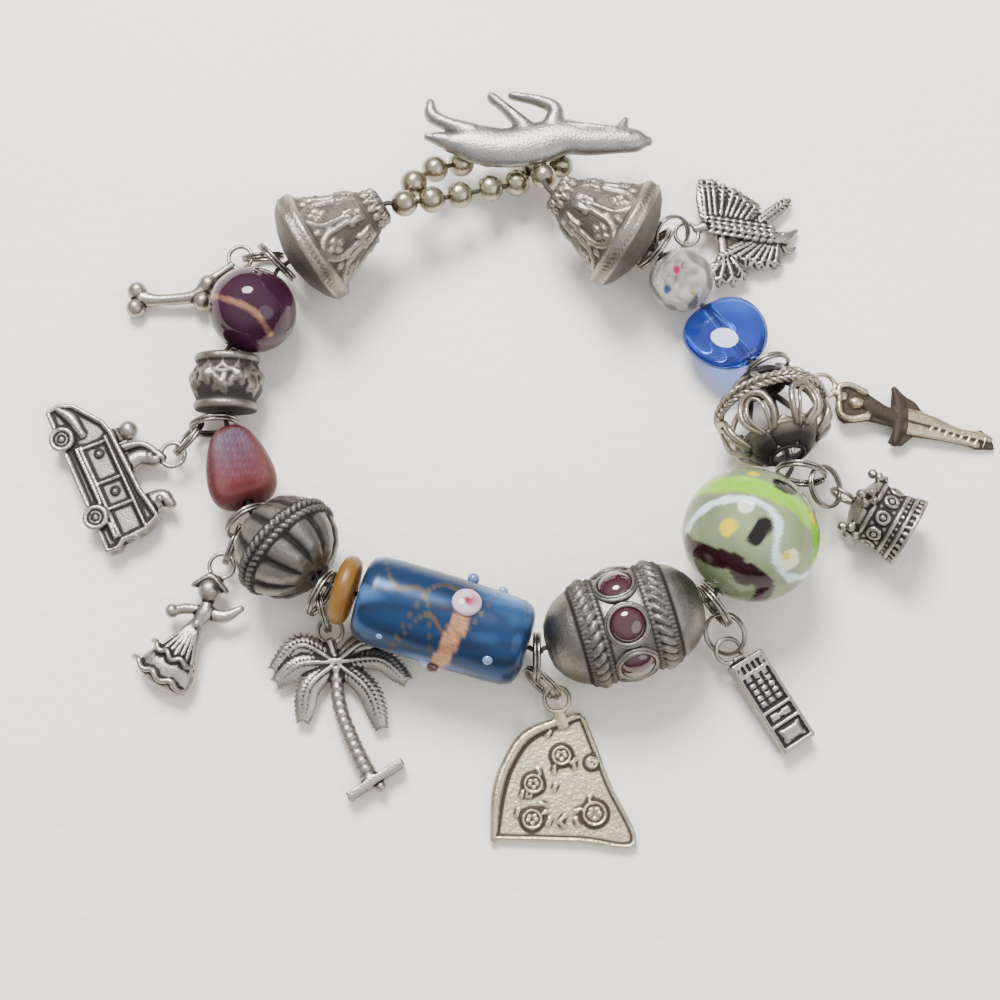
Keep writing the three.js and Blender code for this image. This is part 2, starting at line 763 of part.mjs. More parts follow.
function pizzaCharm() {
  const slice = plate(
    [
      [4, -2.4],
      [5.8, -6.9],
      [7.5, -12],
      [11.4, -21.2],
      [3, -20.5],
      [-9, -19.8],
      [-8.3, -13.5],
      [-6.8, -9.1],
      [-3.8, -5],
      [-1.2, -2.8],
    ],
    PIZZA_THICKNESS,
  );
  const crustRow = (x, y, halfWidth, share) => {
    const half = share * PIZZA_THICKNESS;
    return [x, y, halfWidth, half, half - PIZZA_THICKNESS / 2];
  };
  const crust = limb([
    crustRow(-9.1, -19.7, 0.6, 0.55),
    crustRow(-8.6, -13.4, 0.9, 0.7),
    crustRow(-7, -8.9, 0.9, 0.7),
    crustRow(-3.9, -4.8, 0.9, 0.7),
    crustRow(2.9, -2.2, 0.6, 0.55),
  ]);
  const toppings = [
    [4.9, -9, 0.7],
    [0.6, -8, 1.2],
    [-3.4, -12, 1.2],
    [5.2, -16.2, 1.6],
    [-3.6, -17, 1.2],
  ].map(([x, y, r]) => new THREE.CylinderGeometry(0.8 * r, r, 0.6, 8).rotateX(Math.PI / 2).translate(x, y, PIZZA_THICKNESS / 2));
  const tongue = limb([
    [0.2, -1.8, 0.9, 0.35, 0],
    [0.9, -4.4, 1.8, 0.6, -PIZZA_DROP],
  ]);
  const slab = join([slice, crust, ...toppings]).translate(0, 0, -PIZZA_DROP);
  return join([eye(), slab, tongue]);
}

function phoneCharm() {
  const turn = Math.atan2(-0.845, 0.536);
  const body = box(PHONE_LENGTH / 2 + PHONE_START, 1.3, 0, PHONE_LENGTH, PHONE_WIDTH, PHONE_THICKNESS);
  const top = PHONE_THICKNESS / 2;
  const panels = [
    [1.2, 1.3, 1.2, 4],
    [5.2, 1.3, 5, 4],
    [9.3, 1.3, 1.3, 4],
    [12.2, 1.3, 2.4, 4],
  ].map(([x, y, length, width]) => box(x + PHONE_START, y, top, length, width, 0.5));
  const keys = [];
  for (let row = 0; row < 4; row++) {
    for (let column = 0; column < 3; column++) {
      keys.push(box(PHONE_START + 3.5 + 1.15 * row, 1.3 + 1.2 * (column - 1), top - 0.3, 0.65, 0.7, 0.5));
    }
  }
  const lug = box(PHONE_START, 0.6, 0, 1.6, 1.6, 1.2);
  return join([eye(), cut(body, panels), lug, ...keys]).rotateZ(turn);
}

function palmCharm() {
  const fronds = [
    [[1, -4.7], [-4.1, -2.2], [-8, -5.7]],
    [[1, -4.7], [-4.1, -5], [-7.5, -7.5]],
    [[1, -4.7], [-2.7, -8.2], [-3.6, -13.1]],
    [[1, -4.7], [5.6, -8.6], [7.6, -14]],
    [[1, -4.7], [7.2, -4.2], [11.1, -7.2]],
    [[1, -4.7], [4.6, -1.9], [8.4, -1.9]],
  ].map(([root, middle, tip]) =>
    limb([
      [...root, 0.7, 0.7, 0.2],
      [...middle, 1.25, 0.75, 0.5],
      [...tip, 0.3, 0.3, -0.2],
    ]),
  );
  const trunk = limb([
    [0.9, -4.2, 0.9, 0.9],
    [1.5, -10.5, 1.1, 1.1],
    [3.5, -16, 1.2, 1.2],
    [6.2, -21.8, 1.35, 1.3],
  ], 8);
  const base = box(6.9, -21.4, 0, 9.4, 1.3, 3.2, 33.5 * DEGREE);
  const stud = ball(7.7, -22.4, 0.3, 0.8, 6, 4);
  const neck = limb([
    [0.1, -1.6, 0.7, 0.7],
    [0.9, -4.4, 0.8, 0.8],
  ]);
  return join([eye(), neck, trunk, base, stud, ...fronds]);
}

function girlCharm() {
  const skirt = limb([
    [-3.2, -8.2, 1, 1],
    [-4.6, -10.4, 1.9, 1.5],
    [-6.3, -13.4, 3.6, 2.1],
    [-7.2, -14.7, 4.9, 2.5],
    [-8.1, -16.3, 4.6, 2.3],
  ], 8);
  const torso = limb([
    [-1.8, -5, 0.8, 0.9],
    [-2.2, -6.9, 1.5, 1.2],
    [-3.4, -8.8, 1, 1],
  ], 8);
  const head = ball(-1.6, -3.5, 0.3, 1.9, 8, 6);
  const brim = limb([
    [-3.3, -2.4, 0.5, 1.2],
    [-1.2, -1.6, 0.7, 1.5],
    [0.4, -3.4, 0.5, 1.2],
  ]);
  const arm = limb([
    [-1.6, -6.9, 0.9, 0.8],
    [0.6, -7.4, 1.1, 0.8],
    [3.1, -6.3, 0.5, 0.5],
  ]);
  const otherArm = limb([
    [-2.6, -6.4, 0.7, 0.7],
    [-5.2, -6.2, 0.8, 0.7],
    [-7, -6.6, 0.6, 0.6],
  ]);
  const cuff = ball(-7.1, -6.5, 0, 1.15, 8, 5);
  return join([eye(), head, brim, torso, skirt, arm, otherArm, cuff]);
}

function carCharm() {
  const eyeAt = [9, 14];
  const body = plate(
    [
      [-5.2, -0.4],
      [18.9, -0.4],
      [19, 1.4],
      [18.2, 2.4],
      [18.2, 6],
      [17, 8.8],
      [12.2, 7.8],
      [2, 7.3],
      [0, 6.8],
      [-4.4, 3.6],
      [-5.4, 1.6],
    ],
    CAR_THICKNESS,
  );
  const wheels = [0, 13.2].map((along) =>
    new THREE.CylinderGeometry(WHEEL_D / 2, WHEEL_D / 2, CAR_THICKNESS + 1, 12).rotateX(Math.PI / 2).translate(along, 0.2, 0),
  );
  const hubs = [0, 13.2].map((along) =>
    new THREE.CylinderGeometry(0.62 * WHEEL_D / 2, 0.62 * WHEEL_D / 2, 1, 10)
      .rotateX(Math.PI / 2)
      .translate(along, 0.2, (CAR_THICKNESS + 1) / 2),
  );
  const panel = box(8.2, 4, CAR_THICKNESS / 2, 12.4, 4.2, 0.5);
  const driver = ball(2.6, 9.6, 0, 1.6);
  const shoulders = limb([
    [2.4, 6.8, 1.5, 1.2],
    [2.8, 9, 0.9, 0.9],
  ]);
  const rider = limb([
    [7.4, 7, 1.7, 1.3],
    [7.3, 9.6, 1.4, 1.2],
    [8.6, 11.4, 1, 0.9],
  ]);
  const seat = limb([
    [4.6, 7, 0.8, 1.1],
    [5.6, 10.6, 0.6, 1],
    [8.8, 12.6, 0.6, 0.7],
  ]);
  const parcel = limb([
    [14.5, 7.6, 2.1, 1.3],
    [14.4, 10.2, 1.5, 1.2],
    [15.8, 11, 0.8, 0.9],
  ]);
  const pieces = [cut(join([body, ...wheels]), [...hubs, panel]), driver, shoulders, rider, seat, parcel];
  const car = join([join(pieces).translate(-eyeAt[0], -eyeAt[1], 0), eye()]);
  return car.rotateZ(-64.5 * DEGREE);
}

// The crown is an open bell on its side: its eye is at the small end and its band is the open rim
function crownCharm() {
  const r = CROWN_D / 2;
  const top = eyeRadius;
  const rim = top + CROWN_HEIGHT;
  const wall = CROWN_WALL;
  const shell = turned(
    [
      [0, top - 0.5],
      [0.2 * r, top - 0.3],
      [0.62 * r, top + 0.6],
      [0.94 * r, top + 0.16 * CROWN_HEIGHT],
      [0.86 * r, top + 0.5 * CROWN_HEIGHT],
      [0.94 * r, top + 0.8 * CROWN_HEIGHT],
      [r, rim],
      [r - wall, rim],
      [0.9 * r - wall, top + 0.8 * CROWN_HEIGHT],
      [0.8 * r - wall, top + 0.5 * CROWN_HEIGHT],
      [0.82 * r - wall, top + 0.28 * CROWN_HEIGHT],
      [0.4 * r, top + 0.6 + wall],
      [0, top + wall],
    ],
    14,
  );
  const fleurs = [];
  for (let i = 0; i < 5; i++) {
    const turn = ((i + 0.5) / 5) * 2 * Math.PI;
    fleurs.push(
      new THREE.SphereGeometry(1.5, 6, 4)
        .scale(0.7, 1.2, 1)
        .translate(0.98 * r, 0, top + 0.14 * CROWN_HEIGHT)
        .rotateZ(turn),
    );
  }
  const windows = [];
  const windowCount = 6;
  for (let i = 0; i < windowCount; i++) {
    const turn = ((i + 0.5) / windowCount) * 2 * Math.PI;
    const hole = new THREE.CylinderGeometry(0.6, 0.6, 3, 4).rotateZ(Math.PI / 2);
    windows.push(hole.translate(0.86 * r, 0, top + 0.5 * CROWN_HEIGHT).rotateZ(turn));
  }
  const upright = join([cut(join([shell, ...fleurs]), windows), eye().rotateX(Math.PI / 2)]);
  return upright.rotateY(Math.PI / 2).rotateZ(-31 * DEGREE);
}

function dancerCharm() {
  const figure = plate(
    [
      [1.4, -1],
      [1.5, 1.9],
      [3.6, 2.1],
      [5.3, 1],
      [9.6, -2.4],
      [9.9, 0.6],
      [10.5, 1.6],
      [11.8, 0.1],
      [13.3, -0.8],
      [14.5, -2.4],
      [17.9, -3.9],
      [21.5, -5.5],
      [23, -4.9],
      [24.7, -6.1],
      [25.2, -8.2],
      [22.1, -8.1],
      [20.1, -7.1],
      [12.8, -6.4],
      [11.1, -7.9],
      [9.7, -8],
      [8.8, -7.3],
      [10.2, -4.9],
      [6, -4],
      [2.3, -4.6],
      [1.5, -3.9],
      [1.1, -2.4],
    ],
    DANCER_THICKNESS,
  );
  const recessTop = DANCER_THICKNESS / 2;
  const hoop = box(3.2, -1.2, recessTop, 3.6, 3.4, 0.5, -20 * DEGREE);
  const bodice = box(8.2, -3, recessTop, 3.4, 1.3, 0.5, -20 * DEGREE);
  const tutu = box(11.9, -3.9, recessTop, 1.8, 6.4, 0.5, -20 * DEGREE);
  const stalk = limb([
    [1.6, -0.9, 0.6, 0.5],
    [3.2, -1.6, 0.8, 0.5],
  ]);
  return join([eye(), stalk, cut(figure, [hoop, bodice, tutu]).translate(0.6, -1.2, 0)]);
}

function birdCharm() {
  const feathers = [
    [2.9, 1.6, 2.4, 9],
    [4.5, 1.6, 4.1, 9.1],
    [5.6, 2, 7.6, 7.8],
    [6.8, 1.8, 9.5, 6.6],
    [8.4, 1.6, 11.2, 5.5],
    [9.6, 0.8, 16.3, 6.5],
    [11.4, -0.4, 4.6, -4],
    [12, -0.8, 8.2, -4.6],
    [13, -1, 10.8, -5.3],
    [14, -1, 13.4, -5],
    [5.2, -4.4, 3, -7.1],
    [5.6, -4.2, 4.6, -8.4],
    [6, -4, 7, -8.2],
    [6.6, -3.8, 8.9, -7],
  ].map(([x0, y0, x1, y1]) =>
    limb([
      [x0, y0, 0.6, 0.7, 0.2],
      [0.45 * x0 + 0.55 * x1, 0.45 * y0 + 0.55 * y1, 0.95, 0.55, 0.5],
      [x1, y1, 0.3, 0.3, 0.3],
    ], 4),
  );
  const body = limb([
    [1.4, 1, 0.6, 0.6],
    [4, 1.4, 1.1, 1.1],
    [9, 0.6, 1.6, 1.5],
    [13, -0.2, 1.4, 1.4],
    [15.4, 0.2, 1.1, 1.2],
    [17.2, 1.4, 0.4, 0.5],
  ], 8);
  const thigh = limb([
    [5.2, 0.8, 0.9, 0.9],
    [5.8, -4.8, 0.9, 0.8],
  ]);
  const leg = limb([
    [13.6, -0.6, 0.8, 0.8],
    [15.8, -2.2, 0.6, 0.6],
    [17, -1.4, 0.3, 0.4],
  ]);
  return join([eye(), body, thigh, leg, ...feathers]);
}

// A charm's chain: the cord ring hangs in the gap after its bead, the link ring is threaded on it, and the
// charm's eye on that. swing is the rings' heading in degrees, from straight out of the loop towards the next
// bead, steep the share of its hang that the cord ring drops, lift the height of the eye, and roll the link
// ring's turn about its own line. linkD is a link ring's own diameter.
const CHARMS = [
  { name: "bird", after: "cone_right", make: birdCharm, swing: 44, steep: 0.85, lift: 2.4, roll: 52 },
  { name: "dancer", after: "blue_drop", make: dancerCharm, swing: 42, steep: 0.5, lift: 2, roll: -40, linkD: 7.8 },
  { name: "crown", after: "openwork_bead", make: crownCharm, swing: 5, steep: 0.3, lift: 5.3, roll: 0, upright: true },
  { name: "phone", after: "lampwork_bead", make: phoneCharm, swing: 46, steep: 0.85, lift: 3.4, roll: 52 },
  { name: "pizza", after: "garnet_bead", make: pizzaCharm, swing: -45, steep: 0.85, lift: PIZZA_LIFT, roll: 52, flat: true },
  { name: "palm", after: "amber_disc", make: palmCharm, swing: -50, steep: 0.8, lift: 2, roll: 52 },
  { name: "girl", after: "fluted_bead", make: girlCharm, swing: -32, steep: 0.85, lift: 2.6, roll: 52 },
  { name: "car", after: "red_bead", make: carCharm, swing: -40, steep: 0.5, lift: 2.4, roll: 52 },
  { name: "bone", after: "purple_bead", make: boneCharm, swing: -40, steep: 0.6, lift: 3, roll: 52 },
];

// The height of a charm's lowest point from its eye when it leans by an angle about a horizontal axis
function depthBelow(geometry, across, lean) {
  const turn = new THREE.Quaternion().setFromAxisAngle(across, lean);
  const position = geometry.attributes.position;
  let low = Infinity;
  for (let i = 0; i < position.count; i++) {
    low = Math.min(low, new THREE.Vector3().fromBufferAttribute(position, i).applyQuaternion(turn).z);
  }
  return low;
}

// How a charm lies: it leans about the line across its length until its far end rests on the surface
function restTurn(geometry, charm, height) {
  if (charm.flat || charm.upright) return new THREE.Matrix4();
  geometry.computeBoundingBox();
  const middle = geometry.boundingBox.getCenter(new THREE.Vector3()).setZ(0).normalize();
  const across = UP.clone().cross(middle);
  let level = 0;
  let steep = Math.PI / 3;
  for (let i = 0; i < 24; i++) {
    const lean = (level + steep) / 2;
    if (depthBelow(geometry, across, lean) + height > REST_GAP) level = lean;
    else steep = lean;
  }
  return new THREE.Matrix4().makeRotationAxis(across, level);
}

// Places tried for a link: inward from fully stretched, sideways and upward, the most stretched first
const SIDEWAYS = [0, 0.3, -0.3, 0.6, -0.6, 0.9, -0.9];
const placesTried = (inward, rises) => inward.flatMap((i) => rises.flatMap((r) => SIDEWAYS.map((l) => [i, l, r])));
const LINK_PLACES = placesTried([0.9, 1.1, 1.3, 1.5, 1.7, 1.9], [0, 0.3, -0.3, 0.6, -0.6, 0.9, -0.9]);
const EYE_PLACES = placesTried([-0.9, -0.7, -0.5, -0.3, -0.1, 0.1, 0.3], [0.4, 0.7, 1, 0.1]);

// The first of the places tried at which a ring or charm clears its neighbours and the surface, or else the
// clearest
function firstClear(neighbours, places, make) {
  let best;
  let widest = -1;
  for (const place of places) {
    const made = make(place);
    const solid = solidOf(made[0]);
    const sinks = solid.boundingBox().min[2] < REST_GAP / 2;
    const gap = sinks ? -0.5 : Math.min(...neighbours.map((neighbour) => solid.minGap(neighbour, 1)));
    if (gap > widest) {
      widest = gap;
      best = made;
    }
    if (gap >= LINK_GAP) break;
  }
  return best;
}

function hangCharm(charm) {
  const index = string.findIndex(({ beads }) => beads.some(([name]) => name === charm.after));
  const [before, next] = [string[index], string[index + 1]];
  const cordPoint = before.end.clone().lerp(next.start, 0.5);
  const along = before.direction.clone().add(next.direction).normalize();
  const out = UP.clone().cross(along).normalize();
  const above = along.clone().cross(out);
  const radial = (angle) => out.clone().multiplyScalar(Math.cos(angle)).addScaledVector(above, Math.sin(angle));

  // The cord ring hangs steeply, or as low as the surface lets it
  const inside = (cordRingRadius - WIRE_D / 2) * Math.cos(Math.PI / RING_SIDES);
  const hang = inside - CORD_D / 2 - LINK_GAP;
  const drop = Math.min(charm.steep, (cordPoint.z - CORD_RING_D / 2 - REST_GAP) / hang);
  const ringCentre = cordPoint.clone().addScaledVector(radial(-Math.asin(drop)), hang);
  const cordRing = splitRing(cordRingRadius, CORD_RING_THICKNESS).applyMatrix4(stringFrame(along, ringCentre));
  add(charm.name + "_cord_ring", cordRing, silver);

  // The link ring pulls from the cord ring's wire at the slope that brings its far end to the wanted height
  const swing = charm.swing * DEGREE;
  const linkRingRadius = ((charm.linkD ?? LINK_RING_D) - WIRE_D) / 2;
  const ahead = out.clone().cross(UP);
  const level = out.clone().multiplyScalar(Math.cos(swing)).addScaledVector(ahead, Math.sin(swing));
  const contactAngle = (slope) => -Math.atan2(Math.sin(slope), Math.cos(slope) * Math.cos(swing));
  const farHeight = charm.lift - (charm.upright ? 0 : EYE_ABOVE_LINK);
  let slope = 0;
  for (let step = Math.PI / 4; step > 1e-4; step /= 2) {
    const tried = slope + step;
    const drop = -cordRingRadius * Math.sin(contactAngle(tried)) + (2 * linkRingRadius - LINK_SLACK) * Math.sin(tried);
    if (ringCentre.z - drop > farHeight) slope = tried;
  }
  const angle = contactAngle(slope);
  const contact = ringCentre.clone().addScaledVector(radial(angle), cordRingRadius);
  const pull = level.clone().multiplyScalar(Math.cos(slope)).addScaledVector(UP, -Math.sin(slope));
  const steep = along.clone().cross(radial(angle)).projectOnPlane(pull).normalize();
  const normal = steep.clone().applyAxisAngle(pull, charm.roll * DEGREE);
  const side = normal.clone().cross(pull);
  const basis = new THREE.Matrix4().makeBasis(pull, side, normal);
  const across = pull.clone().cross(steep);
  const beadSolids = [before, next].flatMap((piece) => piece.solids);
  const cordSolid = solidOf(cordRing);
  const [linkRing, linkCentre] = firstClear([cordSolid, ...beadSolids], LINK_PLACES, ([slack, lateral, rise]) => {
    const at = contact.clone().addScaledVector(pull, linkRingRadius - slack);
    at.addScaledVector(across, lateral).addScaledVector(steep, rise);
    return [splitRing(linkRingRadius, LINK_RING_THICKNESS).applyMatrix4(basis.clone().setPosition(at)), at];
  });
  add(charm.name + "_link_ring", linkRing, silver);

  // The eye lies over the link ring's far wire, where it clears it best
  const hold = linkCentre.clone().addScaledVector(pull, linkRingRadius);
  const aside = UP.clone().cross(level);
  const hole = new THREE.CylinderGeometry(EYE_HOLE_D / 2, EYE_HOLE_D / 2, EYE_D, 10);
  const geometry = cut(charm.make(), [charm.upright ? hole : hole.rotateX(Math.PI / 2)]);
  const linkSolid = solidOf(linkRing);
  const [placed] = firstClear([linkSolid, cordSolid, ...beadSolids], EYE_PLACES, ([inward, lateral, rise]) => {
    const height = charm.flat ? charm.lift : hold.z + rise;
    const eyeCentre = hold.clone().addScaledVector(level, -inward).addScaledVector(aside, lateral).setZ(height);
    return [geometry.clone().applyMatrix4(restTurn(geometry, charm, height).setPosition(eyeCentre)), eyeCentre];
  });
  add(charm.name + "_charm", placed, charm.name === "dancer" ? darkSilver : silver);
}

CHARMS.forEach(hangCharm);

// The clasp's frame: its origin lies on the surface near the middle between the cone tips, and X runs towards
// the right tip
const leftTip = string[string.length - 1].end;
const rightTip = string[0].start;
const claspX = rightTip.clone().sub(leftTip).setZ(0).normalize();
const claspY = UP.clone().cross(claspX);
const claspMiddle = leftTip.clone().lerp(rightTip, 0.5).setZ(0).addScaledVector(claspY, -CLASP_INSET);
const claspFrame = new THREE.Matrix4().makeBasis(claspX, claspY, UP).setPosition(claspMiddle);
const claspInverse = claspFrame.clone().invert();

// Places of the loop's beads and of the shank's, from the photograph, in the clasp's frame
const LOOP_BEADS = [
  [-9.6, 1.2, 10.6],
  [-5.5, 1.9, 9.6],
  [-1.3, 3, 8.2],
  [3.4, 4.3, 6.9],
  [7.6, 5.6, 5.4],
  [10.5, 8.8, 4.9],
  [7.7, 11.6, 4.8],
  [3.6, 11.1, 4.7],
  [-0.6, 9.8, 4.8],
  [-4.7, 8.2, 6.8],
  [-8, 5.1, 9],
];
const SHANK_BEADS = [
  [11.6, 4.9, 8.4],
  [14.6, 8.2, 4.9],
];

// The thread's end inside a cone's tip, in the clasp's frame
function intoTip(tip, inward) {
  const ends = [THREAD_INSET, -THREAD_INSET].map((depth) => tip.clone().addScaledVector(inward, depth));
  return ends.map((p) => p.applyMatrix4(claspInverse));
}

function beadLoop() {
  const beads = LOOP_BEADS.map((p) => vec(...p));
  const pieces = beads.map(({ x, y, z }) => ball(x, y, z, LOOP_BEAD_D / 2, 6, 4));
  const inward = string[string.length - 1].direction.clone().negate();
  pieces.push(wire([...beads, beads[0].clone().lerp(beads[beads.length - 1], 0.2)], THREAD_D, 4));
  pieces.push(wire([...intoTip(leftTip, inward), beads[0]], THREAD_D, 6));
  return join(pieces);
}

function toggleShank() {
  const beads = SHANK_BEADS.map((p) => vec(...p));
  const pieces = beads.map(({ x, y, z }) => ball(x, y, z, SHANK_BEAD_D / 2, 7, 4));
  const end = beads[1].clone().add(vec(0.2, 0.6, SHANK_BEAD_D / 2 + 0.1));
  pieces.push(wire([...intoTip(rightTip, string[0].direction), ...beads, end], THREAD_D, 6));
  return join(pieces);
}

add("bead_loop", beadLoop(), silver, claspFrame);
add("toggle_shank", toggleShank(), silver, claspFrame);

// Toggle: a leaping animal on its side, thick at the body and thin at the limbs, in the clasp's frame
function toggleAnimal() {
  const t = TOGGLE_THICKNESS / 2;
  const body = limb([
    [-1.8, 11.2, 1.7, 0.9 * t],
    [1.5, 10.8, 3.2, t],
    [6, 9.8, 3.3, t],
    [11, 10.2, 3.5, 0.95 * t],
    [15, 10.9, 3.1, 0.95 * t],
    [19, 10, 2.5, 0.9 * t],
    [23, 9.8, 2.3, 0.8 * t],
    [26.4, 9.4, 2, 0.8 * t],
    [28.2, 9.1, 0.8, 0.5 * t],
  ], 8);
  const muzzle = limb([
    [23.2, 10.4, 1.4, 0.7 * t],
    [24.6, 12.8, 0.9, 0.5 * t],
  ]);
  const hindLeg = limb([
    [1.5, 12.6, 1.6, 0.8 * t],
    [-2.6, 14.6, 1.2, 0.7 * t],
    [-4.6, 16.2, 1.3, 0.7 * t],
    [-4.6, 18, 0.9, 0.6 * t],
  ]);
  const tail = limb([
    [0, 10.6, 1.6, 0.8 * t],
    [-3, 11.8, 1.4, 0.7 * t],
    [-5.3, 12.4, 0.7, 0.5 * t],
  ]);
  const foreLeg = limb([
    [9.4, 13, 1.4, 0.7 * t],
    [6.8, 16.2, 1, 0.6 * t],
    [4.9, 18.4, 1, 0.6 * t],
  ]);
  const bentLeg = limb([
    [13.6, 13, 1.7, 0.8 * t],
    [14.2, 15.6, 1.3, 0.7 * t],
    [11.8, 17.3, 1, 0.65 * t],
    [7.9, 18.4, 0.7, 0.55 * t],
  ]);
  return join([body, muzzle, hindLeg, tail, foreLeg, bentLeg]);
}

const toggleHeight = TOGGLE_HEIGHT + TOGGLE_THICKNESS / 2;
const toggleFrame = claspFrame.clone().multiply(new THREE.Matrix4().makeTranslation(0, 0, toggleHeight));
add("toggle_animal", toggleAnimal(), silver, toggleFrame);

// The origin goes to the middle of the whole at its lowest point
const bounds = new THREE.Box3().setFromObject(group, true);
const centre = bounds.getCenter(new THREE.Vector3());
group.children.forEach((mesh) => mesh.position.sub(vec(centre.x, centre.y, bounds.min.z)));

export default group;
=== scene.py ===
# Dresses the charm bracelet: every bead, ring, charm and clasp piece is made again in fine detail in the
# frame of its CAD node. Lengths are in millimetres until a mesh is made.
import math
import bpy
import bmesh
import numpy as np
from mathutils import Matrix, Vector


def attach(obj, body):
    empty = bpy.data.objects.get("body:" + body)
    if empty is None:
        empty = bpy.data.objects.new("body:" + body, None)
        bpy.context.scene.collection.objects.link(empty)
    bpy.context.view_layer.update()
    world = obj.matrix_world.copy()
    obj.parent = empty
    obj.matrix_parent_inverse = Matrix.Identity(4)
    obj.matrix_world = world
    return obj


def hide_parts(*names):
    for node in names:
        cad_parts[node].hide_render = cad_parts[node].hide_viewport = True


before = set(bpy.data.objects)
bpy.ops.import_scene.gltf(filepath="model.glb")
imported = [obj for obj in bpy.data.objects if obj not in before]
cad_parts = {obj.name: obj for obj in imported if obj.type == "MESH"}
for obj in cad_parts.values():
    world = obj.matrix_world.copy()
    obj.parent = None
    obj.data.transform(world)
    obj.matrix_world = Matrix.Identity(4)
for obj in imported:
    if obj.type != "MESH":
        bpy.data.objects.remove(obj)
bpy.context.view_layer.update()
fullTurn = 2 * math.pi
boreRadius = 0.88  # hole of the beads for the cord
floorGap = 0.02  # lowest height of any piece

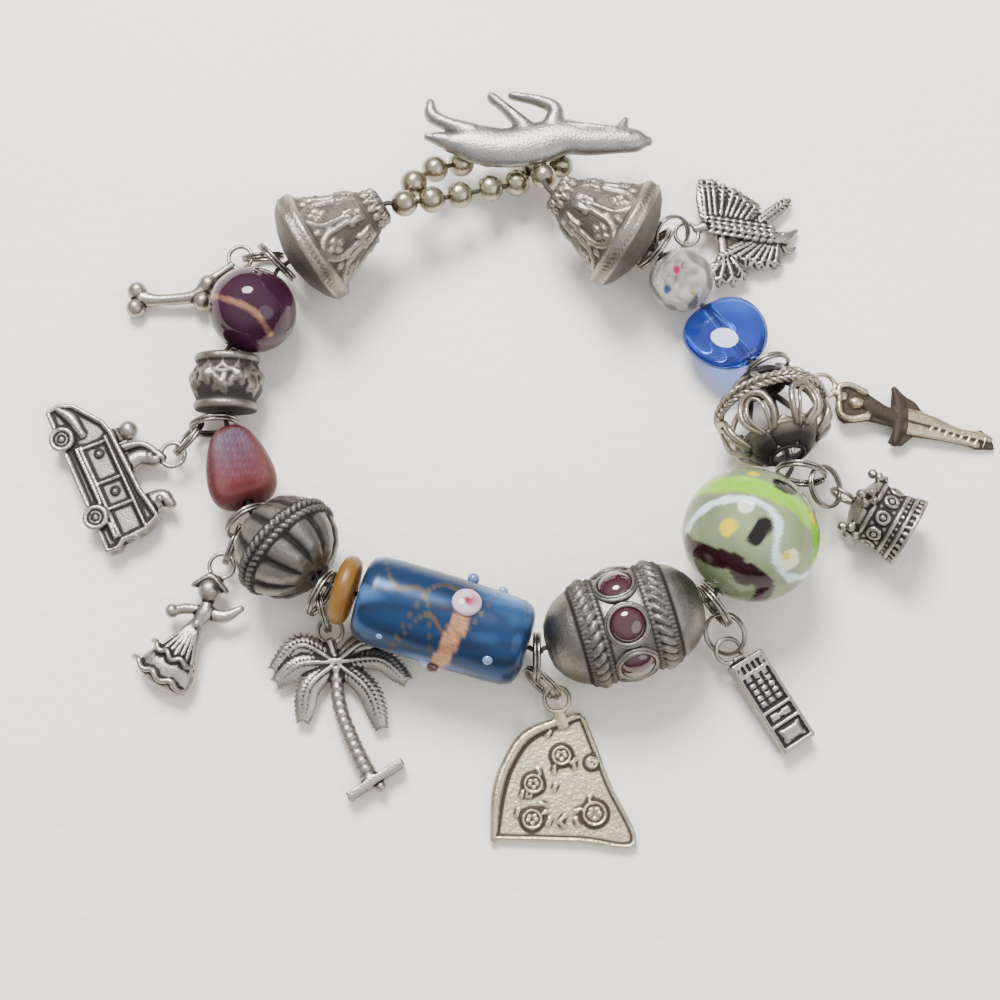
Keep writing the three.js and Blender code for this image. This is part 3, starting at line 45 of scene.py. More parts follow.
# Frames from the CAD: origin, X axis and Y axis of each node
frames = {
    "cone_right": (11.8674, 35.3534, 9.8498, 0.4727, 0.8812, 0, 0.1832, -0.0983, 0.9781),
    "foil_bead": (23.9448, 27.2917, 5.8263, 0.6817, 0.7316, 0, 0.3606, -0.336, 0.8701),
    "blue_drop": (30.6004, 18.8811, 5.201, 0.8464, 0.5326, 0, -0.1455, 0.2312, 0.962),
    "openwork_bead": (36.5617, 4.4949, 8.845, 0.9724, 0.2334, 0, -0.0637, 0.2653, 0.9621),
    "lampwork_bead": (32.3976, -13.4283, 10.2478, 0.8442, -0.536, 0, -0.0309, -0.0487, 0.9983),
    "garnet_bead": (14.2773, -26.0936, 8.9886, 0.2755, -0.9613, 0, -0.0595, -0.017, 0.9981),
    "blue_barrel": (-12.9376, -25.064, 9.0895, -0.2914, -0.9566, 0, 0.0542, -0.0165, 0.9984),
    "amber_disc": (-12.9376, -25.064, 9.0895, -0.2914, -0.9566, 0, 0.0542, -0.0165, 0.9984),
    "fluted_bead": (-33.5475, -14.855, 8.9825, -0.7038, -0.7104, 0, -0.102, 0.1011, 0.9896),
    "red_bead": (-41.2711, -2.0599, 6.3919, -0.954, -0.2997, 0, -0.0748, 0.238, 0.9684),
    "floral_bead": (-43.553, 11.0277, 5.5259, -0.9999, 0.0103, 0, -0.0018, -0.179, 0.9838),
    "purple_bead": (-39.9308, 21.9278, 7.2382, -0.8537, 0.5207, 0, -0.0738, -0.121, 0.9899),
    "cone_left": (-27.5162, 33.2411, 9.8498, -0.4898, 0.8718, 0, -0.1813, -0.1018, 0.9781),
    "bird_cord_ring": (20.0671, 32.1831, 6.3599, 0.5759, 0.8175, 0, 0.292, -0.2057, 0.9341),
    "bird_link_ring": (22.8712, 35.1074, 4.2359, 0.8425, 0.1613, -0.5139, 0.1574, 0.8388, 0.5213),
    "bird_charm": (25.2441, 35.8671, 3.094, 0.9918, -0.0004, -0.1279, -0.0004, 1, -0.0056),
    "dancer_cord_ring": (36.2814, 12.9778, 5.814, 0.9216, 0.3882, 0, -0.1073, 0.2547, 0.9611),
    "dancer_link_ring": (40.9921, 12.777, 3.9083, 0.8473, -0.2944, -0.4421, -0.3036, 0.4144, -0.858),
    "dancer_charm": (44.8502, 11.4365, 3.039, 0.9968, 0.001, -0.0795, 0.001, 0.9997, 0.0247),
    "crown_cord_ring": (39.9234, -4.2553, 10.126, 0.9851, -0.172, 0, 0.0204, 0.1166, 0.993),
    "crown_link_ring": (43.9087, -5.3211, 7.0431, 0.7727, -0.2057, -0.6005, 0.1694, 0.9786, -0.1172),
    "crown_charm": (46.633, -6.3567, 5.6417, 1, 0, 0, 0, 1, 0),
    "phone_cord_ring": (27.1196, -23.0582, 7.7928, 0.5989, -0.8008, 0, -0.0512, -0.0383, 0.998),
    "phone_link_ring": (28.8681, -26.6708, 5.1931, -0.1322, -0.8158, -0.563, 0.8666, -0.3709, 0.3338),
    "phone_charm": (29.4078, -28.966, 4.204, 0.9948, 0.0064, -0.1014, 0.0064, 0.9921, 0.1254),
    "pizza_cord_ring": (1.989, -30.428, 6.3662, -0.0083, -1, 0, -0.0027, 0, 1),
    "pizza_link_ring": (2.853, -33.4039, 3.4342, 0.5748, -0.5845, -0.5727, 0.4981, -0.3053, 0.8116),
    "pizza_charm": (4.9281, -35.5137, 1.9069, 1, 0, 0, 0, 1, 0),
    "palm_cord_ring": (-28.4541, -21.305, 8.1049, -0.5116, -0.8592, 0, -0.0387, 0.023, 0.999),
    "palm_link_ring": (-28.5774, -22.9968, 3.7321, 0.2022, -0.5796, -0.7894, 0.1551, -0.7769, 0.6102),
    "palm_charm": (-27.6745, -25.5855, 2.0639, 1, 0, -0.0025, 0, 0.9998, 0.0183),
    "girl_cord_ring": (-39.4944, -10.2727, 6.192, -0.8526, -0.5226, 0, -0.1059, 0.1727, 0.9793),
    "girl_link_ring": (-41.9456, -13.1351, 3.8762, -0.3875, -0.7775, -0.4954, -0.031, -0.5261, 0.8499),
    "girl_charm": (-43.5096, -16.273, 3.39, 0.9995, -0.0009, 0.0302, -0.0009, 0.9983, 0.0579),
    "car_cord_ring": (-45.4346, 5.0339, 3.8075, -0.9894, -0.1453, 0, -0.0053, 0.0361, 0.9993),
    "car_link_ring": (-49.1741, 3.2922, 3.2667, -0.6477, -0.7283, -0.2238, 0.1913, -0.4397, 0.8775),
    "car_charm": (-51.4494, 0.7336, 2.9954, 0.9984, -0.0007, 0.0565, -0.0007, 0.9997, 0.0249),
    "bone_cord_ring": (-36.6461, 29.7862, 6.8181, -0.6955, 0.7186, 0, -0.1298, -0.1256, 0.9836),
    "bone_link_ring": (-39.1194, 31.9339, 3.5978, -0.8575, 0.0892, -0.5067, -0.5067, -0.3172, 0.8017),
    "bone_charm": (-42.6182, 31.9962, 3.0777, 0.9969, -0.0014, 0.0783, -0.0014, 0.9993, 0.0367),
    "bead_loop": (-7.7842, 37.1606, -0.0131, 0.997, 0.0778, 0, -0.0778, 0.997, 0),
    "toggle_shank": (-7.7842, 37.1606, -0.0131, 0.997, 0.0778, 0, -0.0778, 0.997, 0),
    "toggle_animal": (-7.7842, 37.1606, 9.0369, 0.997, 0.0778, 0, -0.0778, 0.997, 0),
}
cordPoints = [
    5.83, 38.59, 11.31, 18.94, 31.56, 8.14, 20.95, 30.08, 8.14,
    26.94, 24.5, 3.51, 27.42, 23.93, 3.51, 33.78, 13.83, 6.89,
    34.96, 11.18, 6.89, 38.17, -2.19, 10.8, 37.48, -5.42, 10.8,
    27.31, -21.43, 9.7, 25.31, -22.93, 9.7, 3.24, -29.26, 8.28,
    0.74, -29.23, 8.28, -26.62, -20.9, 9.9, -29.05, -19.31, 9.9,
    -38.05, -10.4, 8.06, -39.33, -8.25, 8.06, -43.22, 4.13, 4.72,
    -43.6, 6.6, 4.72, -43.51, 15.45, 6.33, -43.23, 16.52, 6.33,
    -36.63, 27.34, 8.14, -34.51, 29.31, 8.14, -21.55, 36.6, 11.31,
]


# Colour, from an sRGB hex number to linear: ((c + 0.055) / 1.055) ^ 2.4
def colour(code):
    parts = np.array([(code >> 16) & 255, (code >> 8) & 255, code & 255]) / 255
    return np.where(parts > 0.04045, ((parts + 0.055) / 1.055) ** 2.4, parts / 12.92)


# World point of a local one: origin + x X + y Y + z (X x Y)
def place(name, verts):
    f = frames[name]
    origin, xAxis, yAxis = np.array(f[:3]), np.array(f[3:6]), np.array(f[6:9])
    axes = np.stack([xAxis, yAxis, np.cross(xAxis, yAxis)])
    world = verts @ axes + origin
    world[:, 2] = np.maximum(world[:, 2], floorGap)
    return world


# Quads of a grid of rows by sides, closed round its sides and, if asked, from the last row to the first
def gridFaces(rows, sides, closed=True):
    i = np.arange(rows if closed else rows - 1)[:, None]
    k = np.arange(sides)[None, :]
    a = i * sides + k
    b = i * sides + (k + 1) % sides
    c = ((i + 1) % rows) * sides + (k + 1) % sides
    d = ((i + 1) % rows) * sides + k
    return np.stack([a, b, c, d], axis=-1).reshape(-1, 4)


# A profile of (radius, along) points resampled at even arc lengths
def evenProfile(profile, rows):
    p = np.array(profile, float)
    arc = np.concatenate([[0], np.cumsum(np.hypot(*np.diff(p, axis=0).T))])
    at = np.linspace(0, arc[-1], rows)
    return np.interp(at, arc, p[:, 0]), np.interp(at, arc, p[:, 1])


# A turned form: r = radius(row) + lift(turn, along, radius), closed along its bore
def turned(profile, sides, rows, lift=None):
    radius, along = evenProfile(profile, rows)
    turn = np.arange(sides) / sides * fullTurn
    r = np.repeat(radius[:, None], sides, 1)
    a = np.repeat(along[:, None], sides, 1)
    t = np.repeat(turn[None, :], rows, 0)
    height = lift(t, a, r) if lift else np.zeros_like(r)
    r = r + height
    verts = np.stack([r * np.cos(t), r * np.sin(t), a], -1).reshape(-1, 3)
    return verts, gridFaces(rows, sides), height.reshape(-1)


# A round wire along points: centre + radius (cos t side + sin t up), carried along without twist
def tube(points, radius, sides=10, closed=False):
    p = np.array(points, float)
    count = len(p)
    r = np.broadcast_to(np.asarray(radius, float), (count,))
    if closed:
        tangent = np.roll(p, -1, 0) - np.roll(p, 1, 0)
    else:
        tangent = np.gradient(p, axis=0)
    tangent /= np.linalg.norm(tangent, axis=1)[:, None]
    side = np.cross(tangent[0], [0.13, 0.2, 1.0])
    sideLines = []
    for d in tangent:
        side = side - d * side.dot(d)
        side /= np.linalg.norm(side)
        sideLines.append(side)
    side = np.array(sideLines)
    up = np.cross(tangent, side)
    t = np.arange(sides) / sides * fullTurn
    ring = np.cos(t)[None, :, None] * side[:, None] + np.sin(t)[None, :, None] * up[:, None]
    verts = (p[:, None] + ring * r[:, None, None]).reshape(-1, 3)
    faces = gridFaces(count, sides, closed).tolist()
    if not closed:
        faces += [list(range(sides))[::-1], list(range((count - 1) * sides, count * sides))]
    return verts, faces


# Smooth line through points: uniform Catmull-Rom
def smoothLine(points, steps=8):
    p = np.array(points, float)
    q = np.vstack([2 * p[0] - p[1], p, 2 * p[-1] - p[-2]])
    out = []
    for i in range(1, len(q) - 2):
        for s in np.arange(steps) / steps:
            a, b, c, d = q[i - 1], q[i], q[i + 1], q[i + 2]
            out.append(0.5 * (2 * b + (c - a) * s + (2 * a - 5 * b + 4 * c - d) * s**2
                              + (3 * b - a - 3 * c + d) * s**3))
    out.append(q[-2])
    return np.array(out)


# A limb in the XY plane: ellipses of half width w and half height h swept along rows (x, y, w, h, z),
# with ends rounded by w, h -> w, h times sqrt(1 - s^2)
def limb(rows, sides=16, steps=6):
    full = smoothLine([(list(r) + [0])[:5] for r in rows], steps)
    full[:, 2:4] = np.maximum(full[:, 2:4], 0.12)
    centre = full[:, [0, 1, 4]]
    caps = np.array([0.92, 0.75, 0.45])
    head = centre[0] - centre[1]
    head /= np.linalg.norm(head) + 1e-9
    tail = centre[-1] - centre[-2]
    tail /= np.linalg.norm(tail) + 1e-9
    start = [(centre[0] + head * full[0, 3] * c, np.sqrt(1 - c * c)) for c in caps]
    end = [(centre[-1] + tail * full[-1, 3] * c, np.sqrt(1 - c * c)) for c in caps[::-1]]
    middle = np.vstack([[s[0] for s in start], centre, [e[0] for e in end]])
    scale = np.concatenate([[s[1] for s in start], np.ones(len(centre)), [e[1] for e in end]])
    w = np.concatenate([[full[0, 2]] * 3, full[:, 2], [full[-1, 2]] * 3]) * scale
    h = np.concatenate([[full[0, 3]] * 3, full[:, 3], [full[-1, 3]] * 3]) * scale
    tangent = np.gradient(middle, axis=0)
    across = np.stack([tangent[:, 1], -tangent[:, 0], np.zeros(len(middle))], -1)
    across /= np.linalg.norm(across, axis=1)[:, None] + 1e-9
    t = np.arange(sides) / sides * fullTurn
    verts = middle[:, None] + across[:, None] * (np.cos(t)[None, :, None] * w[:, None, None])
    verts[:, :, 2] += np.sin(t)[None, :] * h[:, None]
    count = len(middle)
    faces = gridFaces(count, sides, False).tolist()
    faces += [list(range(sides))[::-1], list(range((count - 1) * sides, count * sides))]
    return verts.reshape(-1, 3), faces


# Ball or ellipsoid: centre + radii * direction
def ball(centre, radii, sides=20, rows=12):
    radii = np.broadcast_to(np.asarray(radii, float), (3,))
    polar = np.linspace(0.02, math.pi - 0.02, rows)
    t = np.arange(sides) / sides * fullTurn
    d = np.stack([np.sin(polar)[:, None] * np.cos(t), np.sin(polar)[:, None] * np.sin(t),
                  np.cos(polar)[:, None] * np.ones(sides)], -1)
    faces = gridFaces(rows, sides, False).tolist()
    faces += [list(range(sides))[::-1], list(range((rows - 1) * sides, rows * sides))]
    return (d.reshape(-1, 3) * radii + np.array(centre, float)), faces


# A plate: an outline extruded from bottom to top
def plate(outline, bottom, top):
    o = np.array(outline, float)
    n = len(o)
    verts = np.vstack([np.c_[o, np.full(n, bottom)], np.c_[o, np.full(n, top)]])
    faces = [[i, (i + 1) % n, n + (i + 1) % n, n + i] for i in range(n)]
    faces += [list(range(n))[::-1], list(range(n, 2 * n))]
    return verts, faces


# Box by its middle, its length, width and height, and its turn about Z
def block(x, y, z, length, width, height, turn=0.0):
    c, s = math.cos(turn), math.sin(turn)
    corners = [(-length / 2, -width / 2), (length / 2, -width / 2), (length / 2, width / 2),
               (-length / 2, width / 2)]
    outline = [(x + a * c - b * s, y + a * s + b * c) for a, b in corners]
    return plate(outline, z - height / 2, z + height / 2)


# Disc: a circle of points extruded from bottom to top
def disc(x, y, bottom, top, radius, sides=24):
    t = np.arange(sides) / sides * fullTurn
    return plate(np.c_[x + radius * np.cos(t), y + radius * np.sin(t)], bottom, top)


# Level ring of round wire round a middle: circle of the radius, wire of its own radius
def ringOf(x, y, z, radius, wire, sides=32, section=8):
    t = np.arange(sides) / sides * fullTurn
    return tube(np.c_[x + radius * np.cos(t), y + radius * np.sin(t), np.full(sides, z)], wire, section, True)


# One mesh of several: vertices stacked, faces shifted
def joined(parts):
    verts, faces, base = [], [], 0
    for v, f in parts:
        verts.append(v)
        faces += [[int(i) + base for i in face] for face in f]
        base += len(v)
    return np.vstack(verts), faces


# Turned about Z: x cos - y sin, x sin + y cos
def rotateZ(part, degrees):
    c, s = math.cos(math.radians(degrees)), math.sin(math.radians(degrees))
    v = part[0].copy()
    v[:, 0], v[:, 1] = part[0][:, 0] * c - part[0][:, 1] * s, part[0][:, 0] * s + part[0][:, 1] * c
    return v, part[1]


# Moved: every vertex plus (x, y, z)
def shifted(part, x, y, z=0.0):
    return part[0] + np.array([x, y, z]), part[1]


# A piece in metres, with its faces turned outward
def makePiece(name, node, verts, faces, material, slot, replace=True, attributes=None):
    mesh = bpy.data.meshes.new(name)
    mesh.from_pydata((place(node, verts) / 1000).tolist(), [], [list(map(int, f)) for f in faces])
    mesh.update()
    work = bmesh.new()
    work.from_mesh(mesh)
    bmesh.ops.recalc_face_normals(work, faces=work.faces)
    work.to_mesh(mesh)
    work.free()
    mesh.shade_smooth()
    piece = bpy.data.objects.new(name, mesh)
    bpy.context.collection.objects.link(piece)
    mesh.materials.append(material)
    for key, values in (attributes or {}).items():
        if values.ndim == 1:
            mesh.attributes.new(key, "FLOAT", "POINT").data.foreach_set("value", values.astype(np.float32))
        else:
            full = np.c_[values, np.ones(len(values))].astype(np.float32)
            mesh.attributes.new(key, "FLOAT_COLOR", "POINT").data.foreach_set("color", full.reshape(-1))
    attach(piece, "root")
    if replace:
        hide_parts(node)
    return piece


# The hollow attribute of a piece, 0 on its heights and 1 in its depths
def setHollow(piece, values):
    layers = piece.data.attributes
    layer = layers.get("hollow") or layers.new("hollow", "FLOAT", "POINT")
    layer.data.foreach_set("value", values.astype(np.float32))


# Vertices of a mesh, in metres
def meshPoints(mesh):
    at = np.empty(len(mesh.vertices) * 3)
    mesh.vertices.foreach_get("co", at)
    return at.reshape(-1, 3)


# Hollowness of each vertex: mean of normal . (neighbour - vertex) / distance, blurred along the edges
def markHollows(piece, passes=3, gain=4.0):
    mesh = piece.data
    count = len(mesh.vertices)
    at = meshPoints(mesh)
    normal = np.empty(count * 3)
    mesh.vertices.foreach_get("normal", normal)
    normal = normal.reshape(-1, 3)
    edges = np.empty(len(mesh.edges) * 2, np.int32)
    mesh.edges.foreach_get("vertices", edges)
    a, b = edges.reshape(-1, 2).T
    d = at[b] - at[a]
    d /= np.linalg.norm(d, axis=1)[:, None] + 1e-12
    total = np.bincount(a, (d * normal[a]).sum(1), count) + np.bincount(b, (-d * normal[b]).sum(1), count)
    degree = np.maximum(np.bincount(a, minlength=count) + np.bincount(b, minlength=count), 1)
    hollow = total / degree
    for _ in range(passes):
        spread = np.bincount(a, hollow[b], count) + np.bincount(b, hollow[a], count)
        hollow = 0.5 * hollow + 0.5 * spread / degree
    setHollow(piece, np.clip(0.5 + gain * hollow, 0, 1))


# A cast piece: overlapping forms become one skin by voxel remesh, softened, and its hollows are marked
def castPiece(name, node, parts, material, slot, voxel=0.16, soften=3, gain=4.0):
    verts, faces = joined(parts)
    piece = makePiece(name, node, verts, faces, material, slot)
    remesh = piece.modifiers.new("skin", "REMESH")
    remesh.mode = "VOXEL"
    remesh.voxel_size = voxel / 1000
    smooth = piece.modifiers.new("soften", "SMOOTH")
    smooth.factor = 0.5
    smooth.iterations = soften
    graph = bpy.context.evaluated_depsgraph_get()
    done = bpy.data.meshes.new_from_object(piece.evaluated_get(graph))
    old = piece.data
    piece.modifiers.clear()
    piece.data = done
    bpy.data.meshes.remove(old)
    if not done.materials:
        done.materials.append(material)
    count = len(done.vertices)
    at = np.empty(count * 3, np.float32)
    done.vertices.foreach_get("co", at)
    at = at.reshape(-1, 3)
    at[:, 2] = np.maximum(at[:, 2], floorGap / 1000)
    done.vertices.foreach_set("co", at.reshape(-1))
    done.update()
    done.shade_smooth()
    markHollows(piece, 4, gain)
    return piece


# Noise group: fine and broad noise of the object's own coordinates, as tarnish and as a height
def surfaceGroup():
    group = bpy.data.node_groups.new("wornSurface", "ShaderNodeTree")
    group.interface.new_socket("Scale", in_out="INPUT", socket_type="NodeSocketFloat")
    group.interface.new_socket("Tarnish", in_out="OUTPUT", socket_type="NodeSocketFloat")
    group.interface.new_socket("Height", in_out="OUTPUT", socket_type="NodeSocketFloat")
    nodes, links = group.nodes, group.links
    entry, leave = nodes.new("NodeGroupInput"), nodes.new("NodeGroupOutput")
    where = nodes.new("ShaderNodeTexCoord")
    broad, fine = nodes.new("ShaderNodeTexNoise"), nodes.new("ShaderNodeTexNoise")
    third = nodes.new("ShaderNodeMath")
    third.operation = "MULTIPLY"
    third.inputs[1].default_value = 4.5
    links.new(entry.outputs[0], broad.inputs["Scale"])
    links.new(entry.outputs[0], third.inputs[0])
    links.new(third.outputs[0], fine.inputs["Scale"])
    for noise in (broad, fine):
        links.new(where.outputs["Object"], noise.inputs["Vector"])
        noise.inputs["Detail"].default_value = 4
    links.new(broad.outputs["Fac"], leave.inputs[0])
    links.new(fine.outputs["Fac"], leave.inputs[1])
    return group


wornSurface = surfaceGroup()


# New material with its nodes, links and Principled shader
def newMaterial(name):
    material = bpy.data.materials.new(name)
    material.use_nodes = True
    nodes, links = material.node_tree.nodes, material.node_tree.links
    return material, nodes, links, nodes["Principled BSDF"]


# Mix of two colours or sockets by a factor
def colourMix(nodes, links, factor, low, high):
    mix = nodes.new("ShaderNodeMix")
    mix.data_type = "RGBA"
    links.new(factor, mix.inputs[0])
    for socket, value in ((mix.inputs[6], low), (mix.inputs[7], high)):
        if hasattr(value, "links"):
            links.new(value, socket)
        else:
            socket.default_value = (*value, 1)
    return mix.outputs[2]


# Value mapped in a straight line from one range to another, held at its ends
def remap(nodes, links, value, low, high, toLow=0.0, toHigh=1.0):
    node = nodes.new("ShaderNodeMapRange")
    links.new(value, node.inputs[0])
    for i, number in enumerate((low, high, toLow, toHigh)):
        node.inputs[i + 1].default_value = number
    return node.outputs[0]


# Height made a normal for the shader
def bump(nodes, links, shader, height, strength, distance):
    node = nodes.new("ShaderNodeBump")
    node.inputs["Strength"].default_value = strength
    node.inputs["Distance"].default_value = distance
    links.new(height, node.inputs["Height"])
    links.new(node.outputs[0], shader.inputs["Normal"])


# Oxidised silver: bright where the hollow attribute is low, dark and rougher where it is high
def silverMaterial(name, bright, dark, roughness, edges=(0.5, 0.72), bumpiness=0.25, scale=500):
    material, nodes, links, shader = newMaterial(name)
    hollow = nodes.new("ShaderNodeAttribute")
    hollow.attribute_name = "hollow"
    worn = nodes.new("ShaderNodeGroup")
    worn.node_tree = wornSurface
    worn.inputs[0].default_value = scale
    recess = remap(nodes, links, hollow.outputs["Fac"], *edges)
    tarnish = remap(nodes, links, worn.outputs[0], 0.35, 0.75, 0, 0.55)
    midTone = [0.55 * a + 0.45 * b for a, b in zip(bright, dark)]
    base = colourMix(nodes, links, tarnish, bright, midTone)
    links.new(colourMix(nodes, links, recess, base, dark), shader.inputs["Base Color"])
    links.new(remap(nodes, links, recess, 0, 1, roughness, roughness + 0.3), shader.inputs["Roughness"])
    links.new(remap(nodes, links, recess, 0, 1, 1.0, 0.55), shader.inputs["Metallic"])
    bump(nodes, links, shader, worn.outputs[1], bumpiness, 0.0002)
    return material


# Painted glass: colour and metal share come from the vertex attributes
def paintedGlass(name, transmission, roughness=0.2, bumpiness=0.0, scale=900):
    material, nodes, links, shader = newMaterial(name)
    paint = nodes.new("ShaderNodeAttribute")
    paint.attribute_name = "paint"
    metal = nodes.new("ShaderNodeAttribute")
    metal.attribute_name = "metal"
    links.new(paint.outputs["Color"], shader.inputs["Base Color"])
    links.new(metal.outputs["Fac"], shader.inputs["Metallic"])
    shader.inputs["Roughness"].default_value = roughness
    shader.inputs["Specular IOR Level"].default_value = 0.36
    shader.inputs["Transmission Weight"].default_value = transmission
    if bumpiness:
        worn = nodes.new("ShaderNodeGroup")
        worn.node_tree = wornSurface
        worn.inputs[0].default_value = scale
        bump(nodes, links, shader, worn.outputs[1], bumpiness, 0.0006)
    return material


# Even glass, stone or fibre: every value on the shader itself
def plainMaterial(name, base, roughness, metallic=0.0, coat=0.0, transmission=0.0):
    material, _, _, shader = newMaterial(name)
    shader.inputs["Base Color"].default_value = (*base, 1)
    shader.inputs["Roughness"].default_value = roughness
    shader.inputs["Metallic"].default_value = metallic
    shader.inputs["Coat Weight"].default_value = coat
    shader.inputs["Coat Roughness"].default_value = 0.03
    shader.inputs["Transmission Weight"].default_value = transmission
    return material


warmSilver = silverMaterial("warmSilver", colour(0xA9A195), colour(0x24211E), 0.3, (0.46, 0.68), 0.35, 600)
charmSilver = silverMaterial("charmSilver", colour(0xA39E96), colour(0x1D1B19), 0.32, (0.45, 0.62), 0.35, 700)
pewter = silverMaterial("pewter", colour(0x7F7C76), colour(0x24221F), 0.38, (0.48, 0.8), 0.5, 500)
darkSilver = silverMaterial("darkSilver", colour(0x858078), colour(0x1C1A18), 0.36, (0.4, 0.9), 0.45, 600)
creamSilver = silverMaterial("creamSilver", colour(0xBDAF9A), colour(0x3B322B), 0.34, (0.5, 0.66), 0.5, 420)
ringSilver = silverMaterial("ringSilver", colour(0x96928B), colour(0x3A3733), 0.24, (0.6, 1.0), 0.2, 900)
coneSilver = silverMaterial("coneSilver", colour(0x99948A), colour(0x26231F), 0.34, (0.2, 1.15), 0.6, 520)
cordFibre = plainMaterial("cordFibre", colour(0x3B3733), 0.8)


# Distance of points from a polyline, in the points' own space
def strokeDistance(points, line):
    line = np.array(line, float)
    nearest = np.full(len(points), 1e9)
    for a, b in zip(line[:-1], line[1:]):
        d = b - a
        share = np.clip(((points - a) @ d) / (d @ d + 1e-12), 0, 1)
        nearest = np.minimum(nearest, np.linalg.norm(points - (a + share[:, None] * d), axis=1))
    return nearest


# Soft mask: 1 inside the edge and 0 outside, over the width
def soft(value, edge, width=0.15):
    return np.clip((edge - value) / width + 0.5, 0, 1)[:, None]


# Smooth noise of points: a mean of sines with turned directions
def waves(points, scale, seed):
    rng = np.random.default_rng(seed)
    total = np.zeros(len(points))
    for _ in range(10):
        d = rng.normal(size=3)
        d /= np.linalg.norm(d)
        total += np.sin(points @ d * fullTurn / (scale * rng.uniform(0.6, 1.6)) + rng.uniform(0, fullTurn))
    return total / 10 * 2.2


# Cone ends: U-shaped wires open to the tip, clusters of granules, square flowers, and a rope at the rim.
# u is the arc round the wall and v the distance from the tip.
coneSize = {"length": 13.2, "rim": 8.85, "tip": 2.8, "dome": 3.2, "motifs": 7}


# Height of a round wire at a distance from its middle: sqrt(half^2 - distance^2)
def wireLift(distance, half):
    return np.sqrt(np.clip(half**2 - distance**2, 0, None))


# Height of the cone ornament at turn t, along a and radius r: the highest of its wires, grains and flowers
def coneLift(t, a, r):
    length, total = coneSize["length"], coneSize["length"] + coneSize["dome"]
    v = a + total / 2
    sector = fullTurn / coneSize["motifs"]
    body = ((v > 0.17 * length) & (v < 0.83 * length)).astype(float)
    lift = np.zeros_like(r)
    for offset in (0.0, 0.5):
        u = ((t / sector + offset) % 1 - 0.5) * sector * r
        if offset == 0:
            half, bottom = 2.05, 0.8 * length
            turnAt = bottom - half
            shape = np.where(v < turnAt, np.abs(np.abs(u) - half * (0.55 + 0.45 * np.clip(v / turnAt, 0, 1))),
                             np.abs(np.hypot(u, v - turnAt) - half))
            shape = np.where(v < 0.42 * length, 9, shape)
            lift = np.maximum(lift, wireLift(shape, 0.42) * body)
            for du, dv in ((0, -0.75), (0.75, 0), (-0.75, 0), (0, 0.75)):
                lift = np.maximum(lift, 0.9 * wireLift(np.hypot(u - du, v - turnAt - 0.3 - dv), 0.5) * body)
            curl = np.hypot(np.abs(u) - 0.56 * half - 0.1, v - 0.4 * length)
            lift = np.maximum(lift, wireLift(curl, 0.62) * body)
        else:
            lift = np.maximum(lift, 0.9 * wireLift(np.hypot(u, v - 0.75 * length), 0.52) * body)
            lift = np.maximum(lift, 0.8 * wireLift(np.hypot(u, v - 0.62 * length), 0.4) * body)
            up = v - 0.33 * length
            square = np.maximum(np.abs(u), np.abs(up))
            petal = 0.5 + 0.14 * np.cos(4 * np.arctan2(up, u)) - 0.25 * (np.hypot(u, up) < 0.35)
            lift = np.maximum(lift, np.clip((1.25 - square) / 0.25, 0, 1) * petal * body)
    for at, half in ((0.855, 0.32), (0.985, 0.32)):
        lift = np.maximum(lift, 0.35 * wireLift(np.abs(v - at * length), half) / half * (v < 1.02 * length))
    rope = np.abs(np.sin(34 * t + 3.2 * v)) * wireLift(np.abs(v - 0.92 * length), 0.62) * 0.5
    lift = np.maximum(lift, rope * (v < length))
    for at in (0.05, 0.125):
        around = ((t / fullTurn * 13 + (0.5 if at > 0.1 else 0)) % 1 - 0.5) * fullTurn * r / 13
        grain = np.hypot(around, v - at * length)
        lift = np.maximum(lift, 0.8 * wireLift(grain, 0.55))
    return np.where(r > 1.0, lift, 0)


# Cone end: wall that widens as share^1.15, flat rim and domed base
def coneEnd(name, node, tipFirst):
    s = coneSize
    total = s["length"] + s["dome"]
    widening = (s["rim"] - s["tip"]) * 0.93
    wall = [(s["tip"] + widening * (k / 10) ** 1.15, k / 10 * s["length"]) for k in range(2, 9)]
    profile = [(0.9, 0), (0.75 * s["tip"], 0), (0.95 * s["tip"], 0.05 * s["length"]),
               (1.02 * s["tip"], 0.15 * s["length"])]
    profile += [(r - 0.12, a) for r, a in wall]
    profile += [(0.945 * s["rim"], 0.86 * s["length"]), (0.95 * s["rim"], s["length"])]
    base = s["dome"]
    profile += [(0.93 * s["rim"], s["length"] + 0.12 * base), (0.8 * s["rim"], s["length"] + 0.42 * base),
                (0.52 * s["rim"], s["length"] + 0.78 * base), (0.2 * s["rim"], total), (0.9, total), (0.9, 0)]
    profile = [(r, a - total / 2) for r, a in profile]
    verts, faces, height = turned(profile, 200, 105, coneLift)
    if not tipFirst:
        verts = verts * np.array([1, -1, -1])
    piece = makePiece(name, node, verts, faces, coneSilver, "dark_silver")
    along = verts[:, 2] * (1 if tipFirst else -1) + total / 2
    depth = np.maximum(np.clip(1 - height / 0.22, 0, 1) * (along < 0.97 * s["length"]),
                       0.9 * (along > 1.01 * s["length"]))
    setHollow(piece, 0.9 * depth)


coneEnd("coneEndRight", "cone_right", True)
coneEnd("coneEndLeft", "cone_left", False)
print("cone ends")

# Foil bead: crinkled silver foil with pink, blue and yellow flecks under clear glass
foil = {"radius": 4.85, "half": 4.7}


# Profile of a round bead: radius sin t, along -half cos t, closed by its bore
def ballProfile(radius, half, rows=24):
    first = math.asin(0.9 / radius)
    turns = np.linspace(first, math.pi - first, rows)
    arc = [(radius * math.sin(t), -half * math.cos(t) / math.cos(first)) for t in turns]
    return [(boreRadius, -half)] + arc + [(boreRadius, half), (boreRadius, -half)]


